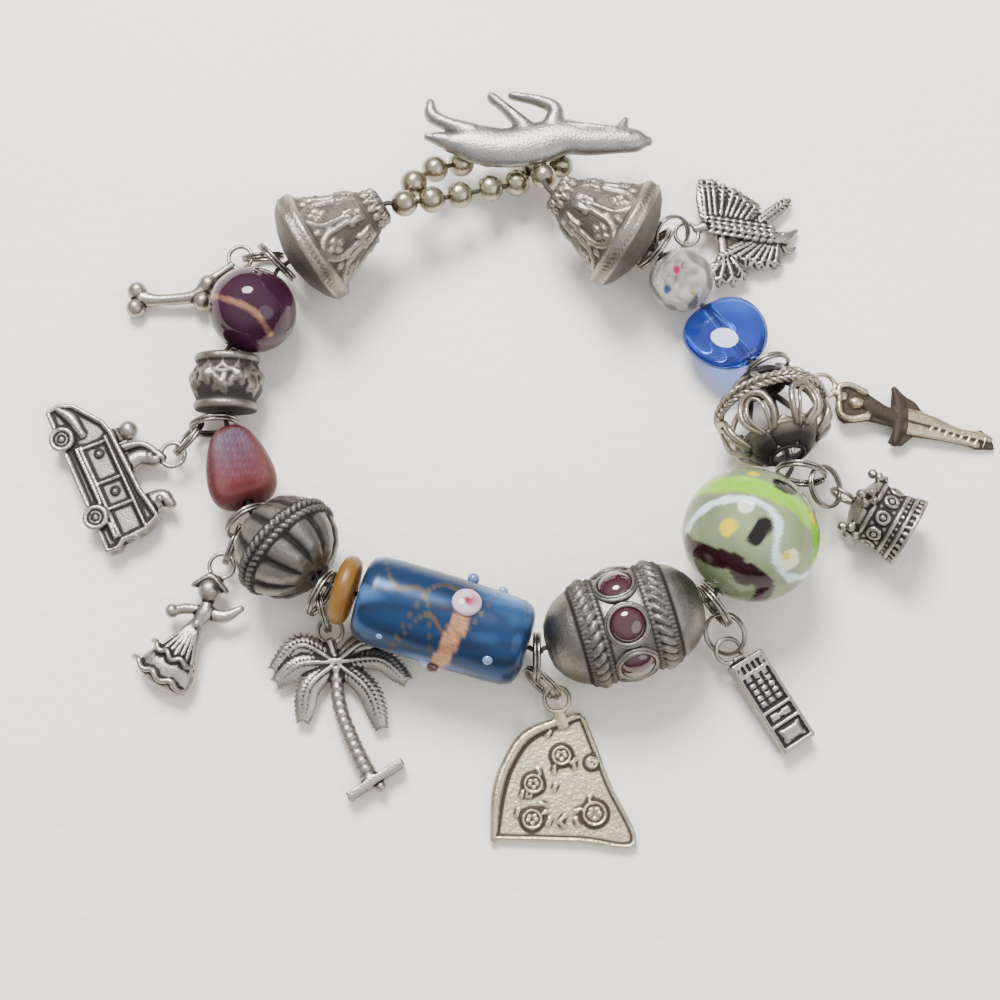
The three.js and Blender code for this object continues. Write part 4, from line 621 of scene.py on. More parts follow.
verts, faces, _ = turned(ballProfile(foil["radius"], foil["half"]), 120, 90)
crinkle = waves(verts, 1.1, 3)
paint = colour(0xDCD8D0) * (0.72 + 0.5 * np.clip(crinkle, -1, 1)[:, None] * 0.5 + 0.2)
for seed, code, level in ((11, 0xC03A62, 0.75), (12, 0x35509C, 0.95), (13, 0xC99A2A, 1.0), (14, 0x4E1E30, 0.95),
                          (15, 0x8C8A86, 0.35), (16, 0xC03A62, 0.9)):
    fleck = np.clip((waves(verts * np.array([1, 1, 0.6]), 2.6, seed) - level) * 3, 0, 1)[:, None]
    paint = paint * (1 - fleck) + colour(code) * fleck
foilGlass = paintedGlass("foilGlass", 0.0, 0.22, 0.9, 1500)
metal = np.clip(0.85 - 0.5 * (paint[:, 0] - paint[:, 2] > 0.12), 0, 1)
makePiece("foilGlassBead", "foil_bead", verts, faces, foilGlass, "clear_glass",
          attributes={"paint": np.clip(paint, 0, 1), "metal": metal})


# A pebble of sections: spread = flat^fullness, width and height by distance along
def pebble(length, sizeAt, sides=120, rows=90):
    verts = []
    first = 0.16
    for p in np.linspace(first, math.pi - first, rows):
        along = -math.cos(p)
        w, h, fullness = sizeAt(along)
        flat = math.sin(p)
        spread = flat**fullness
        t = np.arange(sides) / sides * fullTurn
        verts.append(np.c_[spread * w * np.cos(t), spread * h * np.sin(t), np.full(sides, along * length / 2)])
    ends = verts[-1][0, 2], verts[0][0, 2]
    bore = [np.c_[0.9 * np.cos(t), 0.9 * np.sin(t), np.full(sides, z)] for z in ends]
    return np.vstack(verts + bore), gridFaces(rows + 2, sides)


drop = {"length": 12.2, "halfWidth": 6.2, "taper": 0.1, "halfThickness": 2.2}
verts, faces = pebble(drop["length"], lambda a: (drop["halfWidth"] * (1 - drop["taper"] * a),
                                                 drop["halfThickness"], 0.8))
cobalt = plainMaterial("cobaltGlass", colour(0x3F66D8), 0.03, transmission=0.92)
makePiece("blueDropBead", "blue_drop", verts, faces, cobalt, "cobalt_glass")

wedge = {"length": 13.2, "halfWidth": 6.0, "halfThickness": 3.95, "narrowing": 7.2 / 12.2}


# Width and thickness of the red bead at a share a of its half length: both shrink in a straight line
def wedgeSize(a):
    share = 1 + (wedge["narrowing"] - 1) * (a + 1) / 2
    return wedge["halfWidth"] * share, wedge["halfThickness"] * (0.4 + 0.6 * share), 0.5


verts, faces = pebble(wedge["length"], wedgeSize)
# Sheen: full within 0.74 of a half width that narrows by 0.19 a millimetre, and fading toward both ends
edge = np.clip(np.abs(verts[:, 0]) / (5.9 - 0.19 * (verts[:, 2] + 6.6)), 0, 1)
sheen = (np.clip((0.74 - edge) / 0.3, 0, 1) * np.clip((5.4 - np.abs(verts[:, 2])) / 1.4, 0, 1))[:, None] * 0.88
speck = (0.5 + 0.5 * np.clip(waves(verts, 0.55, 5), -1, 1))[:, None]
blend = np.clip(0.5 + verts[:, 2] / 9, 0, 1)[:, None]
glaze = colour(0x747C98) * blend + colour(0x80484E) * (1 - blend)
face = glaze * (0.25 + 0.8 * speck) + colour(0x7A2034) * 0.5 * (1 - speck)
paint = colour(0x5E0818) * (1 - sheen) + face * sheen
redGlass = paintedGlass("redGlass", 0.25, 0.25, 0.5, 2500)
makePiece("redSheenBead", "red_bead", verts, faces, redGlass, "red_glass",
          attributes={"paint": paint, "metal": 0.45 * sheen[:, 0]})
print("foil, blue and red beads")

# Lampwork bead: strokes placed as they are seen from above, in millimetres right of and up from its middle,
# each a colour, half its width and its line; dots are a colour, a radius and a place, and one of them is a
# painted highlight
lampStrokes = [
    (0x86C42E, 1.65, [(-7.9, 5.6), (-5.2, 7.4), (-1.5, 7.6), (2.2, 6.4), (6.4, 4.2), (8.6, 0.8), (8.8, -2.4)]),
    (0xD5EAF0, 0.55, [(-9.4, 0.6), (-7, 4), (-3, 5.5), (0.8, 4.8), (2.9, 2.2), (2.4, -2), (4.2, -5.2),
                      (7.6, -5)]),
    (0x26060F, 1.5, [(-9.2, -1.2), (-6.6, -2.4), (-3.4, -3.2), (-2, -5.6)]),
    (0x26060F, 1.35, [(-0.9, -4.6), (1.3, -6.8), (0.4, -9)]),
    (0x151012, 1.25, [(0.9, 1.9), (-0.4, 0.2)]),
    (0x151012, 1.3, [(3.8, 7.4), (5.2, 6.8)]),
]
# The bead's own dots, plus one painted highlight: the cream-white dot 0xF0EED4 of radius 1.6 stands for the
# window's reflection, and the small yellow dot inside it is the bead's own
lampDotsAndHighlight = [(0xE2CC10, 1.2, (-4, 1.7)), (0xE2CC10, 0.75, (0, 9)), (0xE2CC10, 0.85, (8.2, 2.6)),
            (0xF0EED4, 1.6, (4.5, -3)), (0xDCC932, 0.7, (4.1, -2.3))]


# A place seen by the camera on a round bead, or on a barrel, as a local point: y is lowered by what the height
# above the middle lifts it in the picture, and the height comes from the radius
def seenPoint(node, x, y, radius, barrelShaped=False):
    f = frames[node]
    out, up = np.array(f[3:6]), np.array(f[6:9])
    along = np.cross(out, up)
    level = 0.0
    for _ in range(6):
        across = np.array([x, (y - 0.276 * level) / 0.961, 0.0])
        a, b = across @ out, across @ along
        level = math.sqrt(max(radius**2 - a * a - (0 if barrelShaped else b * b), 0.0))
    return np.array([a, level, b])


lampwork = {"radius": 9.85, "half": 9.4, "paintRadius": 9.8}
verts, faces, _ = turned(ballProfile(lampwork["radius"], lampwork["half"]), 170, 110)
shade = 0.5 + 0.5 * np.clip(waves(verts, 9, 21), -1, 1)
paint = colour(0x8C9A76) * (0.6 + 0.45 * shade[:, None])
inner = np.clip(waves(verts, 4.5, 22) - 0.4, 0, 1)[:, None]
paint = paint * (1 - 0.5 * inner) + colour(0x84946E) * 0.5 * inner
reach = lampwork["paintRadius"]
for flip in (1, -1):
    for code, half, line in lampStrokes:
        seen = np.array([seenPoint("lampwork_bead", x, y, reach) for x, y in line])
        points = smoothLine(seen * np.array([flip, flip, 1]), 5)
        points *= reach / np.linalg.norm(points, axis=1)[:, None]
        mask = soft(strokeDistance(verts, points) + 0.25 * waves(verts, 3, 23), half, 0.22)
        paint = paint * (1 - mask) + colour(code) * mask
    # Dots, and the painted highlight (the cream-white dot), laid on both sides
    for code, half, (x, y) in lampDotsAndHighlight:
        centre = seenPoint("lampwork_bead", x, y, reach) * np.array([flip, flip, 1])
        mask = soft(np.linalg.norm(verts - centre, axis=1) + 0.15 * waves(verts, 1.6, 24), half, 0.2)
        paint = paint * (1 - mask) + colour(code) * mask
lampGlass = paintedGlass("lampworkGlass", 0.12, 0.1)
makePiece("lampworkGlassBead", "lampwork_bead", verts, faces, lampGlass, "green_glass",
          attributes={"paint": np.clip(paint, 0, 1), "metal": np.zeros(len(verts))})

# Amethyst bead: lumpy dark glass with a copper line over it
amethyst = {"radius": 6.6, "half": 6.3, "line": 6.55, "bumps": 6.2}
verts, faces, _ = turned(ballProfile(amethyst["radius"], amethyst["half"]), 130, 90)
verts[:, :2] *= (1 + 0.012 * waves(verts, 6, 31))[:, None]
lineAt = ((-5, 2.2), (-1.4, 1.4), (1.6, -0.2), (3.4, -3.6))
line = smoothLine([seenPoint("purple_bead", x, y, amethyst["line"]) for x, y in lineAt], 6)
mask = soft(strokeDistance(verts, line), 0.42, 0.25)
paint = colour(0x45203A) * (0.7 + 0.6 * np.clip(waves(verts, 7, 32), 0, 1)[:, None])
paint = paint * (1 - mask) + colour(0xA77862) * mask
plum = paintedGlass("amethystGlass", 0.3, 0.05)
makePiece("amethystBead", "purple_bead", verts, faces, plum, "purple_glass",
          attributes={"paint": paint, "metal": 0.4 * mask[:, 0]})
bumpsAt = ((5.3, -2.6), (-5.2, 1), (1, 5.4), (-2.6, -5.2))
bumps = joined([ball(seenPoint("purple_bead", x, y, amethyst["bumps"]), 0.62) for x, y in bumpsAt])
makePiece("amethystBumps", "purple_bead", *bumps, plainMaterial("darkPlum", colour(0x1E1218), 0.05, coat=1.0),
          "purple_glass", False)
print("lampwork and amethyst beads")

# Blue barrel: foil glass with brown-gold swirls, a goldstone band and raised dots
barrel = {"radius": 6.5, "half": 12.45, "middle": -1.825}
r, h = barrel["radius"], barrel["half"]
profile = [(boreRadius, -h), (0.5 * r, -h), (0.74 * r, -0.975 * h), (0.87 * r, -0.93 * h),
           (0.955 * r, -0.83 * h), (0.985 * r, -0.6 * h), (r, 0),
           (0.985 * r, 0.62 * h), (0.955 * r, 0.84 * h), (0.87 * r, 0.94 * h), (0.74 * r, 0.98 * h),
           (0.5 * r, h), (boreRadius, h), (boreRadius, -h)]
verts, faces, _ = turned(profile, 150, 120)
streak = waves(verts * np.array([1, 1, 0.22]), 1.6, 41)
paint = colour(0x1C3A62) * (0.75 + 0.4 * np.clip(streak, -1, 1)[:, None])
pale = np.clip(waves(verts * np.array([1, 1, 0.5]), 7, 42) - 0.25, 0, 0.8)[:, None]
paint = paint * (1 - pale) + colour(0x5C8CCB) * pale
turn = np.arctan2(verts[:, 1], verts[:, 0])
# Swirls: strips round turn = start + 0.6 slope along + 0.6 sin(0.55 along)
for slope, start, code, half in ((0.42, 0.4, 0x4E453A, 0.45), (-0.5, 2.2, 0x584C3E, 0.42),
                                 (0.3, 4.1, 0x443E38, 0.4), (-0.28, 1.2, 0x584C3E, 0.38)):
    wave = np.abs((turn - start - slope * verts[:, 2] * 0.6 - 0.6 * np.sin(verts[:, 2] * 0.55)
                   + math.pi) % fullTurn - math.pi) * r
    mask = soft(wave, half, 0.2)
    paint = paint * (1 - 0.85 * mask) + colour(code) * 0.85 * mask
bandAt = ((2.9, 2.6), (1.9, 0), (0.6, -3), (-1, -6.2))
goldLine = smoothLine([seenPoint("blue_barrel", x, y, r, True) for x, y in bandAt], 8)
copper = soft(strokeDistance(verts, goldLine) + 0.2 * waves(verts, 1.2, 43), 1.15, 0.25)
grain = (0.6 + 0.6 * np.random.default_rng(4).random(len(verts)))[:, None]
paint = paint * (1 - copper) + colour(0xB0805F) * grain * copper
verts[:, 2] += barrel["middle"]
barrelGlass = paintedGlass("barrelGlass", 0.0, 0.28)
metal = np.clip(0.35 + 0.25 * streak, 0, 0.7) * (1 - 0.4 * copper[:, 0])
makePiece("blueBarrelBead", "blue_barrel", verts, faces, barrelGlass, "blue_glass",
          attributes={"paint": np.clip(paint, 0, 1), "metal": metal})

# Raised dots of the barrel, by the place where the camera sees them, their radius and colour
barrelDots = [((4.4, 6.3), 0.9, 0x55749F), ((-1.6, -6.8), 0.85, 0x4A1216), ((-2.6, -4.9), 1.0, 0x8CA3CC),
              ((6, -5), 0.8, 0x5E7FB0), ((8.6, 4.6), 0.75, 0x6E8DBC), ((-9, -2), 0.6, 0x6E8DBC)]
for index, ((x, y), size, code) in enumerate(barrelDots):
    at = seenPoint("blue_barrel", x, y, r, True)
    part = ball((0, 0, 0), (size, size, size), 24, 14)
    v = part[0] + at * np.array([0.93, 0.93, 1]) + np.array([0, 0, barrel["middle"]])
    makePiece("barrelDot%d" % index, "blue_barrel", v, part[1],
              plainMaterial("dot" + format(code, "06x"), colour(code), 0.08, coat=1.0), "blue_glass", False)
budAt = seenPoint("blue_barrel", 3.1, 3.0, r, True) + np.array([0, 0, barrel["middle"]])
v, f = ball((0, 0, 0), (2.1, 1.05, 2.1), 48, 28)
swirl = np.arctan2(v[:, 2], v[:, 0]) + 1.5 * np.hypot(v[:, 0], v[:, 2])
mask = np.clip((np.cos(swirl) - 0.1) * 2.5, 0, 1)[:, None]
mask = mask * np.clip(1.5 - np.hypot(v[:, 0], v[:, 2]) / 1.3, 0, 1)[:, None]
heart = np.clip(1.6 - np.hypot(v[:, 0] - 0.2, v[:, 2]) / 0.5, 0, 1)[:, None]
paint = colour(0xC9B4C4) * (1 - mask) + colour(0xA04A6C) * mask
paint = paint * (1 - heart) + colour(0x8F2A46) * heart
tilt = math.atan2(budAt[0], budAt[1])
c, q = math.cos(tilt), math.sin(tilt)
v = np.stack([v[:, 0] * c + v[:, 1] * q, v[:, 1] * c - v[:, 0] * q, v[:, 2]], -1) + budAt
makePiece("barrelBud", "blue_barrel", v, f, paintedGlass("budGlass", 0.0, 0.1), "blue_glass", False,
          {"paint": np.clip(paint, 0, 1), "metal": np.zeros(len(v))})

# Frosted amber disc
amber = {"radius": 5.05, "half": 1.6, "along": 12.675}
r, h = amber["radius"], amber["half"]
profile = [(boreRadius, -h), (0.42 * r, -h), (0.7 * r, -0.94 * h), (0.9 * r, -0.7 * h), (0.99 * r, -0.25 * h),
           (0.99 * r, 0.25 * h), (0.9 * r, 0.7 * h),
           (0.7 * r, 0.94 * h), (0.42 * r, h), (boreRadius, h), (boreRadius, -h)]
verts, faces, _ = turned(profile, 96, 60)
verts[:, 2] += amber["along"]
frostedAmber = plainMaterial("frostedAmber", colour(0x946820), 0.38, transmission=0.5)
makePiece("amberGlassDisc", "amber_disc", verts, faces, frostedAmber, "amber_glass")
print("barrel and amber disc")


# Openwork bead: petals of round wire between a collar, a double rope band and a leaf cup
openworkSize = {"length": 14.3, "collar": 3.9, "band": 8.5, "cup": 5.9, "bandShare": 0.38}


# Wires as tubes along lines given by turn, radius and height; leaves as curved plates with walls
def openwork():
    size = openworkSize
    start, collar, band, cup = -size["length"] / 2, size["collar"], size["band"], size["cup"]
    bandAt = start + size["bandShare"] * size["length"]
    parts = []
    t = np.arange(160) / 160 * fullTurn
    for along, lean in ((bandAt - 0.5, 1), (bandAt + 0.55, -1)):
        for phase in (0, math.pi):
            twist = 22 * t * lean + phase
            rr = band - 0.55 + 0.26 * np.cos(twist)
            rope = np.c_[rr * np.cos(t), rr * np.sin(t), along + 0.26 * np.sin(twist)]
            parts.append(tube(rope, 0.3, 6, True))
    for along, rr in ((start + 0.45, collar - 0.55), (start + 1.1, collar - 0.3), (start + 0.1, collar - 1.3)):
        parts.append(tube(np.c_[rr * np.cos(t), rr * np.sin(t), np.full(160, along)], 0.38, 8, True))
    for along, rr in ((-start - 3.0, cup - 0.7), (-start - 0.5, 2.4)):
        parts.append(tube(np.c_[rr * np.cos(t), rr * np.sin(t), np.full(160, along)], 0.34, 8, True))
    petals = 6
    for i in range(petals):
        middle = i / petals * fullTurn
        half = 0.62 * math.pi / petals
        on = lambda p: (p[1] * math.cos(middle + p[0]), p[1] * math.sin(middle + p[0]), p[2])
        belly = bandAt + 0.5 * (-start - bandAt)
        lower = [(-0.55 * half, cup - 0.9, -start - 2.6), (-half, 0.5 * (cup + band) + 0.25, belly),
                 (-0.7 * half, band - 0.75, bandAt + 1.9),
                 (0, band - 0.62, bandAt + 1.15), (0.7 * half, band - 0.75, bandAt + 1.9),
                 (half, 0.5 * (cup + band) + 0.25, belly), (0.55 * half, cup - 0.9, -start - 2.6)]
        inner = [(0.55 * p[0], p[1] + 0.1, p[2] + (0.9 if p[2] < belly else 0.2)) for p in lower]
        upper = [(-0.95 * half, band - 0.75, bandAt - 0.3), (-0.6 * half, 6.4, start + 2.9),
                 (0, collar - 0.3, start + 1.4), (0.6 * half, 6.4, start + 2.9),
                 (0.95 * half, band - 0.75, bandAt - 0.3)]
        for line, wire in ((lower, 0.5), (inner, 0.3), (upper, 0.48)):
            parts.append(tube(smoothLine([on(p) for p in line], 9), wire, 8))
        leafAt = middle + math.pi / petals
        u = np.linspace(-1, 1, 9)[None, :]
        v = np.linspace(0, 1, 10)[:, None]
        width = 0.5 * np.sqrt(np.clip(1 - (2 * v - 0.9) ** 2 * 0.95, 0, 1)) + 0.06
        rr = 2.6 + 3.1 * v + 0.25 * (1 - u * u)
        a = leafAt + u * width
        z = -start - 0.5 - 3.2 * v**1.5 + 0 * u
        top = np.stack([rr * np.cos(a), rr * np.sin(a), z], -1).reshape(-1, 3)
        under = np.stack([(rr - 0.35) * np.cos(a), (rr - 0.35) * np.sin(a), z - 0.3], -1).reshape(-1, 3)
        n = len(top)
        starts = [j * 9 + k for j in range(9) for k in range(8)]
        quads = [[q, q + 1, q + 10, q + 9] for q in starts]
        rim = [*range(9), *range(17, 90, 9), *range(88, 80, -1), *range(72, 0, -9)]
        walls = [[a, b, n + b, n + a] for a, b in zip(rim, rim[1:] + rim[:1])]
        parts.append((np.vstack([top, under]), quads + [[n + q for q in f[::-1]] for f in quads] + walls))
    piece = makePiece("openworkSilver", "openwork_bead", *joined(parts), warmSilver, "silver")
    centre = np.array(frames["openwork_bead"][:3])
    at = meshPoints(piece.data) * 1000 - centre
    f = frames["openwork_bead"]
    along = np.cross(f[3:6], f[6:9])
    radius = np.linalg.norm(at - np.outer(at @ along, along), axis=1)
    depth = np.clip(0.68 - 0.08 * (radius - 4.2), 0.2, 0.7)
    setHollow(piece, depth)


openwork()


# Garnet bead: a domed barrel, on each side a rope between two wires, and cabochons in collars round its belly
garnetBead = {"radius": 7.3, "half": 11.4, "ropeShare": 0.42, "stones": 7, "stoneRadius": 2.5,
              "stoneHeight": 1.35}


# Height on the garnet bead: two ropes of slanted lobes, each between two beaded wires
def garnetLift(t, a, r):
    lift = np.zeros_like(r)
    for side in (-1, 1):
        at = side * garnetBead["ropeShare"] * garnetBead["half"]
        rope = np.abs(np.cos(15 * t + side * 1.5 * (a - at))) ** 0.7 * wireLift(np.abs(a - at), 1.0)
        lift = np.maximum(lift, 0.82 * rope)
        for gap in (-1.35, 1.35):
            grains = 0.75 + 0.25 * np.cos(70 * t)
            lift = np.maximum(lift, 0.5 * grains * wireLift(np.abs(a - at - gap), 0.42) / 0.42)
    return np.where(r > 2.5, lift, 0)


r, h = garnetBead["radius"], garnetBead["half"]
side = [(0.2 * r, h), (0.42 * r, 0.97 * h), (0.62 * r, 0.89 * h), (0.78 * r, 0.79 * h), (0.89 * r, 0.68 * h),
        (0.95 * r, 0.57 * h), (0.98 * r, 0.45 * h), (r, 0.2 * h), (1.005 * r, 0)]
profile = [(boreRadius, -h)] + [(x, -a) for x, a in side] + side[::-1][1:] + [(boreRadius, h), (boreRadius, -h)]
verts, faces, height = turned(profile, 220, 130, garnetLift)
hollow = np.where(np.abs(np.abs(verts[:, 2]) - garnetBead["ropeShare"] * h) < 2,
                  np.clip(1 - height / 0.55, 0, 1), 0.1)
piece = makePiece("garnetBeadBody", "garnet_bead", verts, faces, pewter, "dark_silver",
                  attributes={"hollow": 0.45 + 0.5 * hollow})
collars, stones = [], []
for i in range(garnetBead["stones"]):
    at = (i + 0.5) / garnetBead["stones"] * fullTurn
    c, s = math.cos(at), math.sin(at)
    polar = np.linspace(0, math.pi / 2, 12)
    wide, tall = garnetBead["stoneRadius"], garnetBead["stoneHeight"]
    dome = [(wide * math.sin(p), tall * math.cos(p)) for p in polar][::-1]
    t = np.arange(40) / 40 * fullTurn
    rings = [[(q * math.cos(x), q * math.sin(x), z + r - 0.15) for x in t] for q, z in dome[:-1]]
    grid = np.array(rings).reshape(-1, 3)
    cap = gridFaces(11, 40, False).tolist() + [list(range(10 * 40, 11 * 40)), list(range(40))[::-1]]
    turnOut = lambda v: np.stack([v[:, 2] * c - v[:, 0] * s, v[:, 2] * s + v[:, 0] * c, v[:, 1]], -1)
    stones.append((turnOut(grid), cap))
    v, f = ringOf(0, 0, r + 0.1, 2.72, 0.3, 40, 8)
    collars.append((turnOut(v), f))
    v, f = ringOf(0, 0, r - 0.25, 2.95, 0.38, 40, 8)
    collars.append((turnOut(v), f))
makePiece("garnetCollars", "garnet_bead", *joined(collars), pewter, "dark_silver", False)
garnet = plainMaterial("garnetStone", colour(0x3C0A1C), 0.04, coat=1.0, transmission=0.2)
makePiece("garnetStones", "garnet_bead", *joined(stones), garnet, "dark_silver", False)
print("openwork and garnet beads")


# Fluted bead: ten lobes either side of two ropes
fluted = {"radius": 8.0, "half": 6.3, "lobes": 10, "ropeAt": 0.72}


# Height on the fluted bead: grooves between lobes, and two ropes round its belly
def flutedLift(t, a, r):
    lobe = np.abs(np.cos(fluted["lobes"] / 2 * t + 0.12 * a)) ** 0.55
    groove = -0.9 * (1 - lobe) * np.clip((r - 2.2) / 3, 0, 1)
    rope = np.zeros_like(r)
    for at, lean in ((-fluted["ropeAt"], 1), (fluted["ropeAt"], -1)):
        coil = np.abs(np.cos(24 * t + lean * 2.4 * (a - at))) ** 0.7 * wireLift(np.abs(a - at), 0.66)
        rope = np.maximum(rope, coil)
    return np.where(np.abs(a) < 1.4, rope * 1.05 - 0.1, groove)


r, h = fluted["radius"], fluted["half"]
profile = [(boreRadius, -h), (0.3 * r, -h), (0.5 * r, -0.93 * h), (0.7 * r, -0.78 * h), (0.87 * r, -0.52 * h),
           (0.96 * r, -0.25 * h), (0.97 * r, 0),
           (0.96 * r, 0.25 * h), (0.87 * r, 0.52 * h), (0.7 * r, 0.78 * h), (0.5 * r, 0.93 * h), (0.3 * r, h),
           (boreRadius, h), (boreRadius, -h)]
verts, faces, height = turned(profile, 200, 100, flutedLift)
hollow = np.where(np.abs(verts[:, 2]) < 1.4, np.clip(1 - height / 0.5, 0, 1), np.clip(-height / 0.6, 0, 1))
makePiece("flutedSilverBead", "fluted_bead", verts, faces, pewter, "dark_silver",
          attributes={"hollow": 0.45 + 0.5 * hollow})


# Floral bead: rims, five-petalled flowers and swags under them
floral = {"radius": 5.35, "half": 4.4, "flowers": 6}


# Height on the floral bead: flowers in two rows, their hearts, swags and two rims
def floralLift(t, a, r):
    lift = np.zeros_like(r)
    sector = fullTurn / floral["flowers"]
    for offset, at in ((0, -0.7), (0.5, 0.7)):
        u = ((t / sector + offset) % 1 - 0.5) * sector * r
        d, q = np.hypot(u, a - at), np.arctan2(a - at, u)
        flower = np.clip((1.5 + 0.35 * np.cos(5 * q) - d) / 0.3, 0, 1) * (0.55 + 0.3 * np.cos(d * 2.2))
        lift = np.maximum(lift, 0.75 * flower)
        lift = np.maximum(lift, 0.7 * wireLift(d, 0.5))
        lift = np.maximum(lift, 0.6 * wireLift(np.abs(np.hypot(u * 0.8, a - 3.2) - 2.1) + 4 * (a > 3.2), 0.3))
    for at in (-3.5, 3.6):
        lift = np.maximum(lift, 0.55 * wireLift(np.abs(a - at), 0.5))
    return np.where(r > 2, lift, 0)


r, h = floral["radius"], floral["half"]
profile = [(boreRadius, -h), (0.6 * r, -h), (0.84 * r, -0.95 * h), (0.86 * r, -0.7 * h), (0.82 * r, -0.62 * h),
           (0.93 * r, -0.3 * h), (0.95 * r, 0),
           (0.93 * r, 0.3 * h), (0.82 * r, 0.62 * h), (0.86 * r, 0.7 * h), (0.84 * r, 0.95 * h), (0.6 * r, h),
           (boreRadius, h), (boreRadius, -h)]
verts, faces, height = turned(profile, 180, 90, floralLift)
makePiece("floralSilverBead", "floral_bead", verts, faces, darkSilver, "dark_silver",
          attributes={"hollow": np.clip(0.85 - height / 0.45, 0, 1)})
print("fluted and floral beads")

# Jump rings, by radius and width: two full turns of round wire, side by side, with the cut ends lying against
# the next turn
ringSizes = {"cord": (3.45, 1.1), "link": (3.0, 1.0), "long": (3.55, 1.0), "wire": 0.275}
for key in [k for k in frames if k.endswith("_ring")]:
    kind = "long" if key == "dancer_link_ring" else "cord" if "cord" in key else "link"
    radius, thick = ringSizes[kind]
    t = np.linspace(0, 1.97 * fullTurn, 96)
    wire = ringSizes["wire"]
    step = np.clip((t / fullTurn - 0.93) / 0.14, 0, 1)
    along = (step * step * (3 - 2 * step) - 0.5) * (thick - 2 * wire)
    points = np.c_[radius * np.cos(t), radius * np.sin(t), along]
    makePiece(key.replace("_", "") + "Wire", key, *tube(points, wire, 10), ringSilver, "silver")

# The beading cord: three strands laid round each other
cord = smoothLine(np.array(cordPoints).reshape(-1, 3), 3)
length = np.concatenate([[0], np.cumsum(np.linalg.norm(np.diff(cord, axis=0), axis=1))])
at = np.linspace(0, length[-1], 500)
path = np.stack([np.interp(at, length, cord[:, k]) for k in range(3)], -1)
tangent = np.gradient(path, axis=0)
tangent /= np.linalg.norm(tangent, axis=1)[:, None]
side = np.cross(tangent, [0, 0, 1.0])
side /= np.linalg.norm(side, axis=1)[:, None]
up = np.cross(side, tangent)
frames["world"] = (0, 0, 0, 1, 0, 0, 0, 1, 0)
strand = {"radius": 0.22, "lay": 0.2, "pitch": 1.7}
strands = []
for phase in (0, 1, 2):
    twist = at / strand["pitch"] * fullTurn + phase * fullTurn / 3
    offset = side * (strand["lay"] * np.cos(twist))[:, None] + up * (strand["lay"] * np.sin(twist))[:, None]
    strands.append(tube(path + offset, strand["radius"], 6))
cordPiece = makePiece("beadingCord", "world", *joined(strands), cordFibre, "cord", False)
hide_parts("stringing_cord")
print("rings and cord")

# Charms. Each lies in its own XY plane as it is seen from above, with the middle of its eye at the origin.
eyeRing = ringOf(0, 0, 0, 1.8, 0.36, 40, 10)


# Bone: bent shaft with two knobs at each end
def bone():
    neck = limb([(-1.3, -1.2, 0.6, 0.6), (-5, -3.9, 0.9, 0.8)])
    shaft = limb([(-4.8, -4.2, 1.4, 1.2), (-7, -6, 1.0, 1.0), (-12.2, -6.4, 0.9, 0.9), (-14.9, -6.1, 1.4, 1.2)])
    knobs = [ball((x, y, 0), 1.5) for x, y in ((-15.7, -4.9), (-15.8, -7.6), (-4.8, -4.1), (-5.6, -6.8))]
    return [eyeRing, neck, shaft, *knobs]


# Slice: slab with a raised rim, plain round toppings and small chips
def pizza():
    half, drop = 0.75, 1.15
    outline = [(4, -2.4), (5.8, -6.9), (7.5, -12), (9.2, -16), (11.2, -20.8), (6.8, -20.6), (3, -20.2),
               (-3.4, -20), (-9, -19.7), (-8.6, -16.4),
               (-8.1, -13.2), (-6.8, -9.1), (-3.8, -5), (-1.2, -2.8)]
    slab = plate(outline, -half, half - 0.1)
    crust = limb([(-9, -19.6, 0.6, 0.8, 0.08), (-8.5, -13.4, 0.9, 1.0, 0.3), (-7, -8.9, 0.9, 1.0, 0.3),
                  (-3.9, -4.8, 0.9, 1.0, 0.3), (2.9, -2.3, 0.6, 0.8, 0.1)])
    edge = limb([(3.8, -2.8, 0.3, 0.35, 0.5), (7.3, -12, 0.3, 0.35, 0.5), (10.7, -20.3, 0.3, 0.35, 0.5),
                 (3, -19.9, 0.3, 0.35, 0.5), (-8.6, -19.6, 0.3, 0.35, 0.5)])
    parts = [slab, crust, edge]
    for x, y, size in ((4.9, -9, 0.75), (0.6, -8, 1.25), (-3.4, -12, 1.25), (5.2, -16.2, 1.6),
                       (-3.6, -17, 1.3)):
        parts += [disc(x, y, 0, half + 0.12, size), ringOf(x, y, half + 0.1, size, 0.18, 36, 6)]
        parts += [ball((x + 0.45 * size * math.cos(k * 2.4), y + 0.45 * size * math.sin(k * 2.4), half + 0.15),
                       0.17, 8, 6) for k in range(5)]
    rng = np.random.default_rng(8)
    for _ in range(26):
        x, y = rng.uniform(-6, 8), rng.uniform(-19, -5)
        if -0.9 * (y + 2) * 0.5 > abs(x + 0.3):
            a = rng.uniform(0, math.pi)
            parts.append(limb([(x, y, 0.16, 0.14, half - 0.02),
                               (x + 0.9 * math.cos(a), y + 0.9 * math.sin(a), 0.16, 0.14, half - 0.02)], 8, 2))
    tongue = limb([(0.2, -1.8, 0.8, 0.35, 0), (0.9, -4.2, 1.6, 0.6, -drop + 0.1)])
    return [eyeRing, shifted(joined(parts), 0, 0, -drop), tongue]


